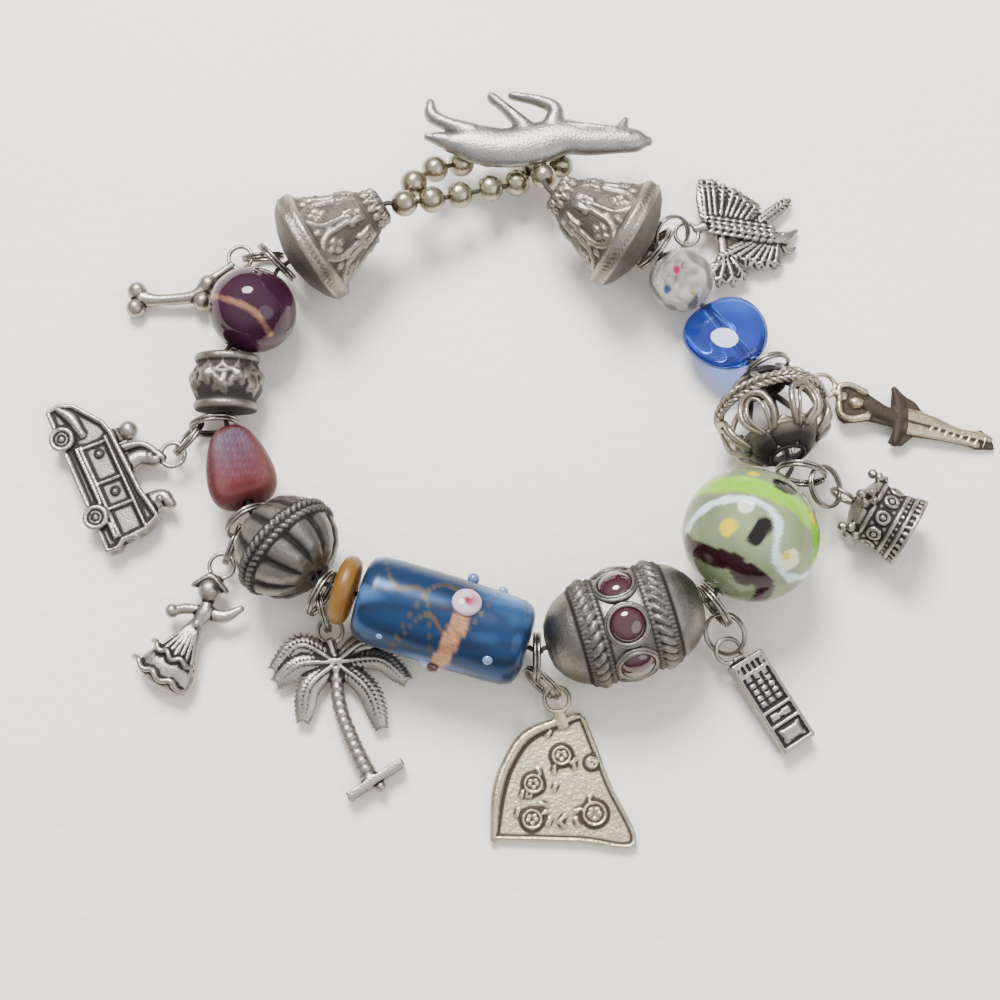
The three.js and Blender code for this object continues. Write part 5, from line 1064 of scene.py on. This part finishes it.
# Telephone: frame bars on a slab, with slots, keys, a dial and a plain window
def phone():
    start = 2.1
    body = block(start + 7.2, 1.3, -0.15, 14.3, 5.3, 2.5)
    ends = [block(start + 0.35, 1.3, 0.1, 0.7, 5.3, 2.7), block(start + 14.0, 1.3, 0.1, 0.6, 5.3, 2.7)]
    frameBars = [block(start + 7.2, 1.3 + s * 2.4, 0.1, 14.3, 0.5, 2.7) for s in (-1, 1)]
    bars = [block(start + x, 1.3, 0.1, 0.45, 5.2, 2.7) for x in (2.2, 8.1, 10.4)]
    slots = [block(start + 1.35, 1.3 + 0.85 * (k - 2), 0.95, 0.9, 0.38, 0.9) for k in range(5)]
    keys = [block(start + 2.95 + 0.98 * row, 1.3 + 1.3 * (k - 1), 1.0, 0.62, 0.85, 0.85) for row in range(5)
            for k in range(3)]
    middle = [block(start + 9.25, 1.3 + s, 1.0, 0.9, 1.1, 0.7) for s in (-0.95, 0.95)]
    middle.append(ball((start + 9.25, 1.3, 1.15), 0.35, 12, 8))
    window = [block(start + 12.2, 1.3, 0.95, 2.1, 3.3, 0.6), block(start + 12.2, 1.3, 1.1, 1.4, 2.6, 0.7)]
    lug = block(start, 0.6, 0, 1.5, 1.6, 1.2)
    turn = math.degrees(math.atan2(-0.845, 0.536))
    whole = joined([body, *ends, *frameBars, *bars, *slots, *keys, *middle, *window, lug])
    return [eyeRing, rotateZ(whole, turn)]


# Palm: six ribbed leaves, ringed trunk and a bar at the foot
def palm():
    parts = [eyeRing, limb([(0.1, -1.6, 0.7, 0.7), (0.9, -4.4, 0.8, 0.8)])]
    fronds = (((1, -4.7), (-4.1, -2.2), (-8, -5.7)), ((1, -4.7), (-4.1, -5), (-7.5, -7.5)),
              ((1, -4.7), (-2.7, -8.2), (-3.6, -13.1)),
              ((1, -4.7), (5.6, -8.6), (7.6, -14)), ((1, -4.7), (7.2, -4.2), (11.1, -7.2)),
              ((1, -4.7), (4.6, -1.9), (8.4, -1.9)))
    for root, middle, tip in fronds:
        line = smoothLine([(*root, 0.4), (*middle, 0.75), (*tip, 0.1)], 9)
        count = len(line)
        for k in range(count - 1):
            d = line[min(k + 1, count - 1)] - line[max(k - 1, 0)]
            d /= np.linalg.norm(d)
            n = np.array([-d[1], d[0], 0])
            reach = 1.75 * math.sin(math.pi * (k + 2.5) / (count + 3)) ** 0.6
            for s in (-1, 1):
                far = line[k] + n * s * reach + d * 0.9
                near = line[k] + n * s * 0.1
                parts.append(limb([(*near[:2], 0.42, 0.42, line[k][2] - 0.1),
                                   (*((near + far) / 2)[:2], 0.4, 0.34, line[k][2] - 0.12),
                                   (*far[:2], 0.16, 0.16, line[k][2] - 0.4)], 8, 2))
        parts.append(tube(line + np.array([0, 0, 0.22]), np.linspace(0.3, 0.16, count), 8))
        parts.append(limb([(*root, 0.8, 0.35, 0.1), (*middle, 1.35, 0.3, 0.35),
                           (*((np.array(middle) + tip) / 2), 1.15, 0.28, 0.15), (*tip, 0.2, 0.2, -0.1)], 10, 4))
    trunk = smoothLine([(0.9, -4.2, 0), (1.5, -10.5, 0), (3.5, -16, 0), (6.2, -21.4, 0)], 24)
    size = np.linspace(0.85, 1.25, len(trunk)) * (1 + 0.13 * (np.arange(len(trunk)) % 5 < 2))
    parts.append(tube(trunk, size, 16))
    parts += [block(6.9, -21.4, 0, 9.2, 1.2, 2.9, math.radians(33.5)), ball((7.7, -22.4, 0.4), 0.8),
              ball((5.9, -22.2, 0.5), 0.7)]
    return parts


# Figure in a wide skirt with two wavy hems, a hat, and a plain head
def girl():
    skirt = limb([(-3.2, -8.2, 1, 1), (-4.6, -10.4, 1.8, 1.4), (-6.2, -13.2, 3.3, 1.9), (-7, -14.7, 4.2, 2.2),
                  (-7.7, -15.9, 4.4, 2.2)], 24)
    torso = limb([(-1.8, -5, 0.8, 0.9), (-2.2, -6.9, 1.4, 1.2), (-3.4, -8.8, 1, 1)])
    parts = [eyeRing, skirt, torso, ball((-1.6, -3.6, 0.3), 1.75)]
    along = np.array([-0.56, -0.83])
    across = np.array([0.83, -0.56])
    for distance, half, z in ((3.2, 3.5, 0.5), (6.6, 4.6, 0.3)):
        centre = np.array([-4.7, -10.2]) + along * distance
        t = np.linspace(-1, 1, 60)
        wave = 0.32 * np.sin(9.5 * t) + 0.5 * (1 - t * t)
        level = centre + np.outer(t, across * half) + np.outer(wave, along)
        rise = z + 1.75 * np.sqrt(np.maximum(1 - t * t, 0)) + 0.12 * np.cos(9.5 * t)
        parts.append(tube(np.c_[level, rise], 0.42, 8))
    for k in range(7):
        s = (k - 3) / 3.4
        a = np.array([-3.8, -9.4]) + across * s * 0.9
        b = np.array([-6.6, -14.2]) + across * s * 3.7
        parts.append(limb([(*a, 0.2, 0.25, 1.0), (*((a + b) / 2), 0.28, 0.3, 1.45 * math.sqrt(1 - 0.7 * s * s)),
                           (*b, 0.32, 0.3, 1.8 * math.sqrt(1 - 0.85 * s * s))], 8, 4))
    parts.append(limb([(-3.4, -2.5, 0.5, 1.1), (-1.3, -1.7, 0.7, 1.4), (0.4, -3.3, 0.5, 1.1)]))
    parts.append(limb([(-1.6, -6.9, 0.9, 0.8), (0.6, -7.4, 1.0, 0.8), (3.0, -6.3, 0.5, 0.5)]))
    parts.append(limb([(-2.6, -6.4, 0.7, 0.7), (-5.2, -6.2, 0.8, 0.7), (-6.9, -6.6, 0.6, 0.6)]))
    parts += [ball((-7, -6.5, 0), 1.05), ball((-2.3, -3.3, 1.75), 0.22, 8, 6),
              ball((-1.4, -3.8, 1.8), 0.22, 8, 6), ball((-3.3, -8.6, 0.9), 0.4)]
    return parts


# Open car: rimmed body with a plain side, spoked wheels, riders and seat above
def car():
    half = 1.5
    body = [(-5.1, -0.3), (-2.6, -0.3), (2.4, -0.3), (10.8, -0.3), (15.6, -0.3), (18.7, -0.3), (18.9, 1.4),
            (18.1, 2.4), (18.1, 6), (17, 8.6), (12.2, 7.7), (2, 7.2), (0, 6.7), (-4.3, 3.6), (-5.3, 1.6)]
    parts = [plate(body, -half, half - 0.35)]
    closed = body + body[:1]
    parts.append(tube([(x * 0.985 + 0.1, y * 0.97 + 0.1, half - 0.4) for x, y in closed], 0.42, 8))
    for x in (0, 13.2):
        parts += [disc(x, 0.2, -half - 0.4, half + 0.05, 1.5), ringOf(x, 0.2, half, 1.55, 0.42, 40, 8),
                  ringOf(x, 0.2, half + 0.05, 0.85, 0.2, 30, 6), ball((x, 0.2, half), 0.42, 12, 8)]
        for a in np.arange(6) * math.pi / 3:
            spokeEnd = (x + 1.2 * math.cos(a), 0.2 + 1.2 * math.sin(a), 0.13, 0.16, half)
            parts.append(limb([(x, 0.2, 0.13, 0.16, half), spokeEnd], 6, 2))
    for y, size in ((1.5, 0.3), (2.15, 0.24), (6.15, 0.26)):
        parts.append(tube([(2.2, y, half - 0.2), (17.3, y + 0.15, half - 0.2)], size, 8))
    parts += [tube([(x, 2.2, half - 0.25), (x + 0.3, 6.1, half - 0.25)], 0.2, 8) for x in (2.6, 8.6, 12.8)]
    parts += [ball((x, 4.3, half - 0.3), 0.42, 12, 8) for x in (4.4, 10.7)]
    parts += [limb([(-4.6, 1.4, 0.5, 0.5, 1.0), (-2.6, 2.6, 0.8, 0.6, 1.1), (0.6, 3.2, 0.5, 0.4, 1.1)]),
              ball((18.2, 4.4, 0.9), 0.6), ball((-4.6, 2.6, 0.9), 0.6)]
    parts += [ball((2.6, 9.5, 0), 1.5), limb([(2.4, 6.8, 1.4, 1.1), (2.8, 9, 0.9, 0.9)]),
              limb([(7.4, 7, 1.6, 1.2), (7.3, 9.6, 1.3, 1.1), (8.6, 11.4, 1, 0.9)])]
    parts += [limb([(4.6, 7, 0.7, 1), (5.6, 10.6, 0.6, 0.9), (8.7, 12.5, 0.6, 0.7)]),
              limb([(14.5, 7.6, 2, 1.2), (14.4, 10.1, 1.4, 1.1), (15.7, 10.9, 0.8, 0.9)])]
    parts += [ball((2.3, 9.8, 1.3), 0.2, 8, 6), ball((3.1, 9.7, 1.3), 0.2, 8, 6), ball((7.9, 10.9, 0.5), 0.7),
              ball((14.6, 9.8, 0.9), 0.5)]
    return [rotateZ(shifted(joined(parts), -9, -14), -64.5), eyeRing]


# Crown: turned wall with beaded bands, stones in rings and fleurs, on the X axis, then headed 31 degrees down
def crown():
    r, top, high = 5.2, 1.8, 9.1
    outer = [(0.62, 0.6 / high), (0.9, 0.16), (0.86, 0.34), (0.83, 0.5), (0.86, 0.66), (0.91, 0.8), (0.95, 0.9),
             (0.97, 1.0)]
    t = np.arange(90) / 90 * fullTurn
    rows = [(r * a, top + high * b) for a, b in outer]
    rows += [(r * outer[-1][0] - 0.7, top + high)]
    rows += [(r * a - 0.75, top + high * max(b, 0.24)) for a, b in outer[::-1][1:-1]]
    rows += [(0.4 * r, top + 1.2), (0.3, top + 1.1)]
    rows = [(0.3, top - 0.4), (0.35 * r, top)] + rows
    verts = np.array([[(q * math.cos(a), q * math.sin(a), z) for a in t] for q, z in rows]).reshape(-1, 3)
    parts = [(verts, gridFaces(len(rows), 90).tolist())]
    hoop = lambda q, z, w: tube(np.c_[q * np.cos(t), q * np.sin(t), np.full(90, z)], w, 8, True)
    parts += [hoop(0.965 * r, top + 0.985 * high, 0.32), hoop(0.93 * r, top + 0.84 * high, 0.28),
              hoop(0.87 * r, top + 0.7 * high, 0.25), hoop(0.86 * r, top + 0.3 * high, 0.25)]
    for k in range(30):
        a = k / 30 * fullTurn
        parts.append(ball((0.955 * r * math.cos(a), 0.955 * r * math.sin(a), top + 0.92 * high), 0.34, 8, 6))
        parts.append(ball((0.87 * r * math.cos(a), 0.87 * r * math.sin(a), top + 0.77 * high), 0.28, 8, 6))
    for k in range(10):
        a = (k + 0.5) / 10 * fullTurn
        s = np.arange(20) / 20 * fullTurn
        ring = np.c_[0.86 * r + 0 * s, 0.85 * np.cos(s), top + 0.5 * high + 0.85 * np.sin(s)]
        c, n = math.cos(a), math.sin(a)
        around = np.c_[ring[:, 0] * c - ring[:, 1] * n, ring[:, 0] * n + ring[:, 1] * c, ring[:, 2]]
        parts.append(tube(around, 0.24, 6, True))
        parts.append(ball((0.86 * r * c, 0.86 * r * n, top + 0.5 * high), 0.42, 10, 8))
    for k in range(5):
        a = (k + 0.5) / 5 * fullTurn
        c, n = math.cos(a), math.sin(a)
        for du, dz, size in ((0, -1.1, 0.75), (-0.95, -0.05, 0.7), (0.95, -0.05, 0.7), (0, 0.9, 0.6)):
            z = top + 0.15 * high + dz
            parts.append(ball((0.93 * r * c - du * n, 0.93 * r * n + du * c, z), size, 10, 8))
            parts.append(ball((1.05 * r * c - du * n, 1.05 * r * n + du * c, z), 0.22, 8, 6))
    v, f = joined(parts)
    upright = (np.stack([v[:, 2], v[:, 1], -v[:, 0]], -1), f)
    e, ef = eyeRing
    standing = (np.stack([e[:, 0], e[:, 2], e[:, 1]], -1), ef)
    return [rotateZ(joined([upright, standing]), -31)]


# Dancer: arms in a hoop, bodice, skirt and two legs on a thin plate
def dancer():
    x0, y0 = 0.6, -1.2
    figure = [(1.4, -1), (1.5, 1.7), (3.6, 2.0), (5.3, 0.9), (9.6, -2.2), (9.9, 0.5), (10.5, 1.4), (11.8, 0),
              (13.3, -0.9), (14.5, -2.5), (17.9, -4), (21.5, -5.5), (23, -5),
              (24.6, -6.1), (25, -8), (22.1, -8), (20.1, -7), (12.8, -6.3), (11.1, -7.7), (9.8, -7.8),
              (8.9, -7.2), (10.2, -4.9), (6, -4), (2.4, -4.5), (1.6, -3.8), (1.2, -2.4)]
    parts = [plate(figure, -0.72, 0.1)]
    parts.append(limb([(5.8, 0.3, 0.6, 0.55, 0.2), (3.6, 1.4, 0.5, 0.5, 0.2), (1.9, 1.1, 0.5, 0.5, 0.2),
                       (1.8, -0.9, 0.45, 0.5, 0.2)], 12))
    parts.append(limb([(6, -3.3, 0.6, 0.55, 0.2), (3.6, -3.8, 0.5, 0.5, 0.2), (2, -3.2, 0.5, 0.5, 0.2),
                       (1.7, -1.6, 0.45, 0.5, 0.2)], 12))
    parts += [ball((4.3, -1.3, 0.15), (1.15, 0.95, 0.75), 20, 12),
              limb([(5.2, -1.4, 0.5, 0.5, 0.15), (6.4, -1.7, 1.3, 0.62, 0.1), (8.4, -2.7, 1.15, 0.62, 0.1),
                    (10.6, -3.5, 1.2, 0.6, 0.1)], 14)]
    parts.append(limb([(10.2, 0.9, 0.5, 0.5, 0.1), (10.9, -1.6, 0.95, 0.6, 0.1), (10.7, -4.4, 0.95, 0.6, 0.1),
                       (9.9, -7.2, 0.5, 0.5, 0.1)], 14))
    parts.append(limb([(11.5, -2.9, 1.1, 0.6, 0.15), (15.4, -4.0, 1.05, 0.6, 0.15),
                       (19.5, -5.6, 0.75, 0.5, 0.15), (22.6, -6.1, 0.75, 0.5, 0.15),
                       (24.4, -6.6, 0.5, 0.4, 0.15)], 14))
    parts.append(limb([(11.6, -5, 1.1, 0.6, 0.1), (15.4, -5.7, 1.0, 0.55, 0.1), (19.5, -6.7, 0.7, 0.5, 0.1),
                       (22.4, -7.4, 0.6, 0.4, 0.1)], 14))
    for k in range(8):
        x, y = 15.6 + 1.1 * k, -4.9 - 0.34 * k
        parts.append(limb([(x - 0.3, y - 0.7, 0.14, 0.16, 0.55), (x + 0.3, y + 0.7, 0.14, 0.16, 0.55)], 6, 2))
    lug = limb([(1.6, -0.9, 0.6, 0.5), (3.2, -1.6, 0.8, 0.5)])
    return [eyeRing, shifted(joined(parts), x0, y0), lug]


# Bird: barbed feathers of the wings and tail, body in scale-like rows
def bird():
    parts = [eyeRing]
    feathers = ((2.9, 1.6, 2.4, 9), (4.5, 1.6, 4.1, 9.1), (5.6, 2, 7.6, 7.8), (6.8, 1.8, 9.5, 6.6),
                (8.4, 1.6, 11.2, 5.5), (9.6, 0.8, 16.3, 6.5), (11.4, -0.4, 4.6, -4),
                (12, -0.8, 8.2, -4.6), (13, -1, 10.8, -5.3), (14, -1, 13.4, -5), (5.2, -4.4, 3, -7.1),
                (5.6, -4.2, 4.6, -8.4), (6, -4, 7, -8.2), (6.6, -3.8, 8.9, -7))
    pairs = list(zip(feathers[:4], feathers[1:5])) + list(zip(feathers[6:9], feathers[7:10]))
    between = [tuple((np.array(a) + np.array(b)) / 2) for a, b in pairs]
    for x0, y0, x1, y1 in list(feathers) + between:
        mx, my = 0.45 * x0 + 0.55 * x1, 0.45 * y0 + 0.55 * y1
        parts.append(limb([(x0, y0, 0.7, 0.65, 0.2), (mx, my, 1.2, 0.5, 0.45), (x1, y1, 0.5, 0.3, 0.3)], 12))
        parts.append(tube(smoothLine([(x0, y0, 0.8), (mx, my, 1.02), (x1, y1, 0.6)], 5), 0.16, 6))
        length = math.hypot(x1 - x0, y1 - y0)
        d = np.array([x1 - x0, y1 - y0]) / length
        n = np.array([-d[1], d[0]])
        for k in range(1, int(length / 0.75)):
            p = np.array([x0, y0]) + d * k * 0.75
            for s in (-1, 1):
                q = p + n * s * 1.0 + d * 0.75
                parts.append(limb([(*p, 0.16, 0.14, 0.95), (*q, 0.14, 0.14, 0.62)], 6, 1))
    parts.append(limb([(1.4, 1, 0.6, 0.6), (4, 1.4, 1.1, 1.1), (9, 0.6, 1.5, 1.5), (13, -0.2, 1.4, 1.4),
                       (15.4, 0.2, 1.1, 1.2), (17.1, 1.4, 0.4, 0.5)], 20))
    parts += [limb([(5.2, 0.8, 0.9, 0.9), (5.8, -4.8, 0.9, 0.8)]),
              limb([(13.6, -0.6, 0.8, 0.8), (15.8, -2.2, 0.6, 0.6), (16.8, -1.4, 0.3, 0.4)])]
    parts.append(ball((14.9, 0.5, 1.05), 0.3, 10, 8))
    for row in range(9):
        x = 4.2 + 1.15 * row
        y = 1.3 - 0.12 * row
        for k, spread in enumerate((-0.9, -0.3, 0.3, 0.9)):
            sx, sy = x + 0.25 * (k % 2), y + spread
            top = 1.35 * math.sqrt(max(1 - (spread / 1.5) ** 2, 0.1)) + 0.1
            parts.append(limb([(sx, sy, 0.2, 0.2, top - 0.1), (sx - 0.7, sy + 0.3 * spread, 0.42, 0.26, top),
                               (sx - 1.3, sy + 0.5 * spread, 0.12, 0.14, top - 0.15)], 8, 2))
    return parts


# The costume is dark: the hollow value is raised near two strokes, the bodice and the skirt
def darkenCostume(piece):
    f = frames["dancer_charm"]
    mesh = piece.data
    local = meshPoints(mesh) * 1000 - np.array(f[:3])
    flat = np.c_[local @ np.array(f[3:6]), local @ np.array(f[6:9]), np.zeros(len(local))]
    values = np.empty(len(local), np.float32)
    mesh.attributes["hollow"].data.foreach_get("value", values)
    height = local @ np.cross(f[3:6], f[6:9])
    values = np.where((flat[:, 0] > 1.8) & (height > -0.4),
                      np.maximum(values, np.clip((0.42 - height) / 0.2, 0, 1) * 0.9), values)
    for line, half in (([(7.0, -2.9, 0), (9.2, -3.9, 0), (11.4, -4.7, 0)], 1.3),
                       ([(10.8, -0.3, 0), (11.4, -3.2, 0), (11.3, -5.6, 0), (10.6, -8.6, 0)], 1.35)):
        values = np.maximum(values, 0.75 * soft(strokeDistance(flat, np.array(line)), half, 0.25)[:, 0])
    setHollow(piece, values)


charmMakers = {"bird": (bird, charmSilver), "dancer": (dancer, creamSilver), "crown": (crown, charmSilver),
               "phone": (phone, charmSilver), "pizza": (pizza, creamSilver),
               "palm": (palm, charmSilver), "girl": (girl, charmSilver), "car": (car, charmSilver),
               "bone": (bone, warmSilver)}
for name, (make, material) in charmMakers.items():
    slot = "dark_silver" if name == "dancer" else "silver"
    piece = castPiece(name + "Cast", name + "_charm", make(), material, slot, 0.175, 1, 5.0)
    if name == "dancer":
        darkenCostume(piece)
    print("charm", name)

# Clasp: beads of the loop and shank on their threads, and the leaping animal, in the clasp's frame
loopBeads = [(-9.6, 1.2, 10.6), (-5.5, 1.9, 9.6), (-1.3, 3, 8.2), (3.4, 4.3, 6.9), (7.6, 5.6, 5.4),
             (10.5, 8.8, 4.9), (7.7, 11.6, 4.8), (3.6, 11.1, 4.7), (-0.6, 9.8, 4.8),
             (-4.7, 8.2, 6.8), (-8, 5.1, 9)]
shankBeads = [(11.6, 4.9, 8.4), (14.6, 8.2, 4.9)]
clasp = {"loopBead": 2.02, "shankBead": 1.88, "thread": 0.38}
beadSilver = silverMaterial("beadSilver", colour(0xA9A08F), colour(0x4A4234), 0.24, (0.6, 1.0), 0.4, 450)
loopParts = [ball(p, clasp["loopBead"], 40, 26) for p in loopBeads]
makePiece("loopBeads", "bead_loop", *joined(loopParts), beadSilver, "silver")
leftEnd = [(-14.0, 0.4, 11.27), (-12.2, 1.05, 11.4)]
makePiece("loopThread", "bead_loop",
          *joined([tube(smoothLine(loopBeads + loopBeads[:1], 4), clasp["thread"], 8),
                   tube(leftEnd + loopBeads[:1], clasp["thread"], 8)]), cordFibre, "cord", False)
makePiece("shankBeads", "toggle_shank", *joined([ball(p, clasp["shankBead"], 40, 26) for p in shankBeads]),
          beadSilver, "silver")
shankEnd = (14.8, 8.8, 6.9)
makePiece("shankThread", "toggle_shank",
          *tube(smoothLine([(14.0, 0.2, 11.27), (12.2, 1.05, 11.4), *shankBeads, shankEnd], 4), clasp["thread"],
                8), cordFibre, "cord", False)


# Leaping animal: body, muzzle, tail and four legs as joined limbs
def animal():
    t = 1.9
    body = limb([(-1.8, 11.2, 1.6, 0.85 * t), (1.5, 10.8, 3.1, 0.95 * t), (6, 9.8, 3.2, 0.95 * t),
                 (11, 10.2, 3.4, 0.9 * t), (15, 10.9, 3, 0.9 * t), (19, 10, 2.4, 0.85 * t),
                 (23, 9.8, 2.2, 0.78 * t),
                 (26.2, 9.4, 1.8, 0.7 * t), (27.6, 9.2, 0.8, 0.5 * t)], 28)
    parts = [body, limb([(23.2, 10.4, 1.3, 0.7 * t), (24.6, 12.7, 0.6, 0.45 * t)]),
             limb([(1.5, 12.6, 1.6, 0.8 * t), (-2.6, 14.6, 1.1, 0.65 * t), (-4.5, 16.1, 1.2, 0.65 * t),
                   (-4.6, 17.8, 0.8, 0.55 * t)])]
    parts += [limb([(0, 10.6, 1.5, 0.8 * t), (-3, 11.8, 1.3, 0.7 * t), (-5.2, 12.4, 0.6, 0.5 * t)]),
              limb([(9.4, 13, 1.4, 0.7 * t), (6.8, 16.2, 0.9, 0.55 * t), (4.9, 18.2, 0.9, 0.55 * t)])]
    parts += [limb([(13.6, 13, 1.7, 0.75 * t), (14.2, 15.6, 1.2, 0.65 * t), (11.8, 17.2, 0.9, 0.6 * t),
                    (8, 18.3, 0.6, 0.5 * t)])]
    parts += [limb([(16, 12.6, 0.5, 0.4, 1.0), (20, 11.6, 0.6, 0.5, 1.1), (23, 11.2, 0.5, 0.4, 1.0)]),
              ball((25, 9.9, 1.25), 0.32, 12, 8)]
    return parts


satinSilver = silverMaterial("satinSilver", colour(0x9A9894), colour(0x3E3E3D), 0.36, (0.5, 0.75), 0.45, 600)
castPiece("leapingAnimal", "toggle_animal", animal(), satinSilver, "silver", 0.24, 6, 4.0)
print("clasp")

# Floor: a white sheet, a little warm, with a fine grain
floorMesh = bpy.data.meshes.new("floorSheet")
reach = 1.2
floorMesh.from_pydata([(-reach, -reach, 0), (reach, -reach, 0), (reach, reach, 0), (-reach, reach, 0)], [],
                      [(0, 1, 2, 3)])
floor = bpy.data.objects.new("floorSheet", floorMesh)
bpy.context.collection.objects.link(floor)
sheet, nodes, links, shader = newMaterial("whiteSheet")
where = nodes.new("ShaderNodeTexCoord")
grainNoise, patch = nodes.new("ShaderNodeTexNoise"), nodes.new("ShaderNodeTexNoise")
grainNoise.inputs["Scale"].default_value = 620
grainNoise.inputs["Detail"].default_value = 3
patch.inputs["Scale"].default_value = 9
for noise in (grainNoise, patch):
    links.new(where.outputs["Object"], noise.inputs["Vector"])
links.new(colourMix(nodes, links, remap(nodes, links, patch.outputs["Fac"], 0.35, 0.65), colour(0xFBF8F0),
                    colour(0xF6F0E4)), shader.inputs["Base Color"])
shader.inputs["Roughness"].default_value = 0.62
bump(nodes, links, shader, grainNoise.outputs["Fac"], 0.35, 0.0006)
floorMesh.materials.append(sheet)


# Light: a broad soft window from beyond the top of the picture, a weak fill, and a bright sky
def areaLight(name, place, aim, size, power, tint):
    data = bpy.data.lights.new(name, "AREA")
    data.shape = "DISK"
    data.size = size
    data.energy = power
    data.color = tint
    lamp = bpy.data.objects.new(name, data)
    lamp.location = place
    lamp.rotation_euler = (Vector(aim) - Vector(place)).to_track_quat("-Z", "Y").to_euler()
    bpy.context.collection.objects.link(lamp)


areaLight("windowLight", (-0.12, 0.42, 0.62), (0, 0, 0), 0.34, 11.5, (1.0, 0.98, 0.94))
areaLight("fillLight", (0.45, -0.25, 0.5), (0, 0, 0), 0.6, 1.6, (0.94, 0.97, 1.0))
world = bpy.data.worlds.new("softRoom")
world.use_nodes = True
nodes, links = world.node_tree.nodes, world.node_tree.links
ground = nodes["Background"]
where = nodes.new("ShaderNodeTexCoord")
split = nodes.new("ShaderNodeSeparateXYZ")
ramp = nodes.new("ShaderNodeValToRGB")
links.new(where.outputs["Generated"], split.inputs[0])
links.new(split.outputs["Z"], ramp.inputs[0])
ramp.color_ramp.elements[0].position = 0.0
ramp.color_ramp.elements[0].color = (0.16, 0.15, 0.14, 1)
ramp.color_ramp.elements[1].position = 0.75
ramp.color_ramp.elements[1].color = (1.0, 0.99, 0.97, 1)
links.new(ramp.outputs[0], ground.inputs[0])
ground.inputs[1].default_value = 1.15
bpy.context.scene.world = world

# Camera: above the near side, at the photograph's angle, aimed at the middle of the picture
lens = bpy.data.cameras.new("photoCamera")
lens.angle = math.radians(28.64)
lens.clip_start = 0.01
camera = bpy.data.objects.new("photoCamera", lens)
target = Vector((-0.0032, -0.00534, 0.0))
camera.location = target + Vector((0, -0.0799, 0.2788))
camera.rotation_euler = (target - camera.location).to_track_quat("-Z", "Y").to_euler()
bpy.context.collection.objects.link(camera)
bpy.context.scene.camera = camera
print("stage")
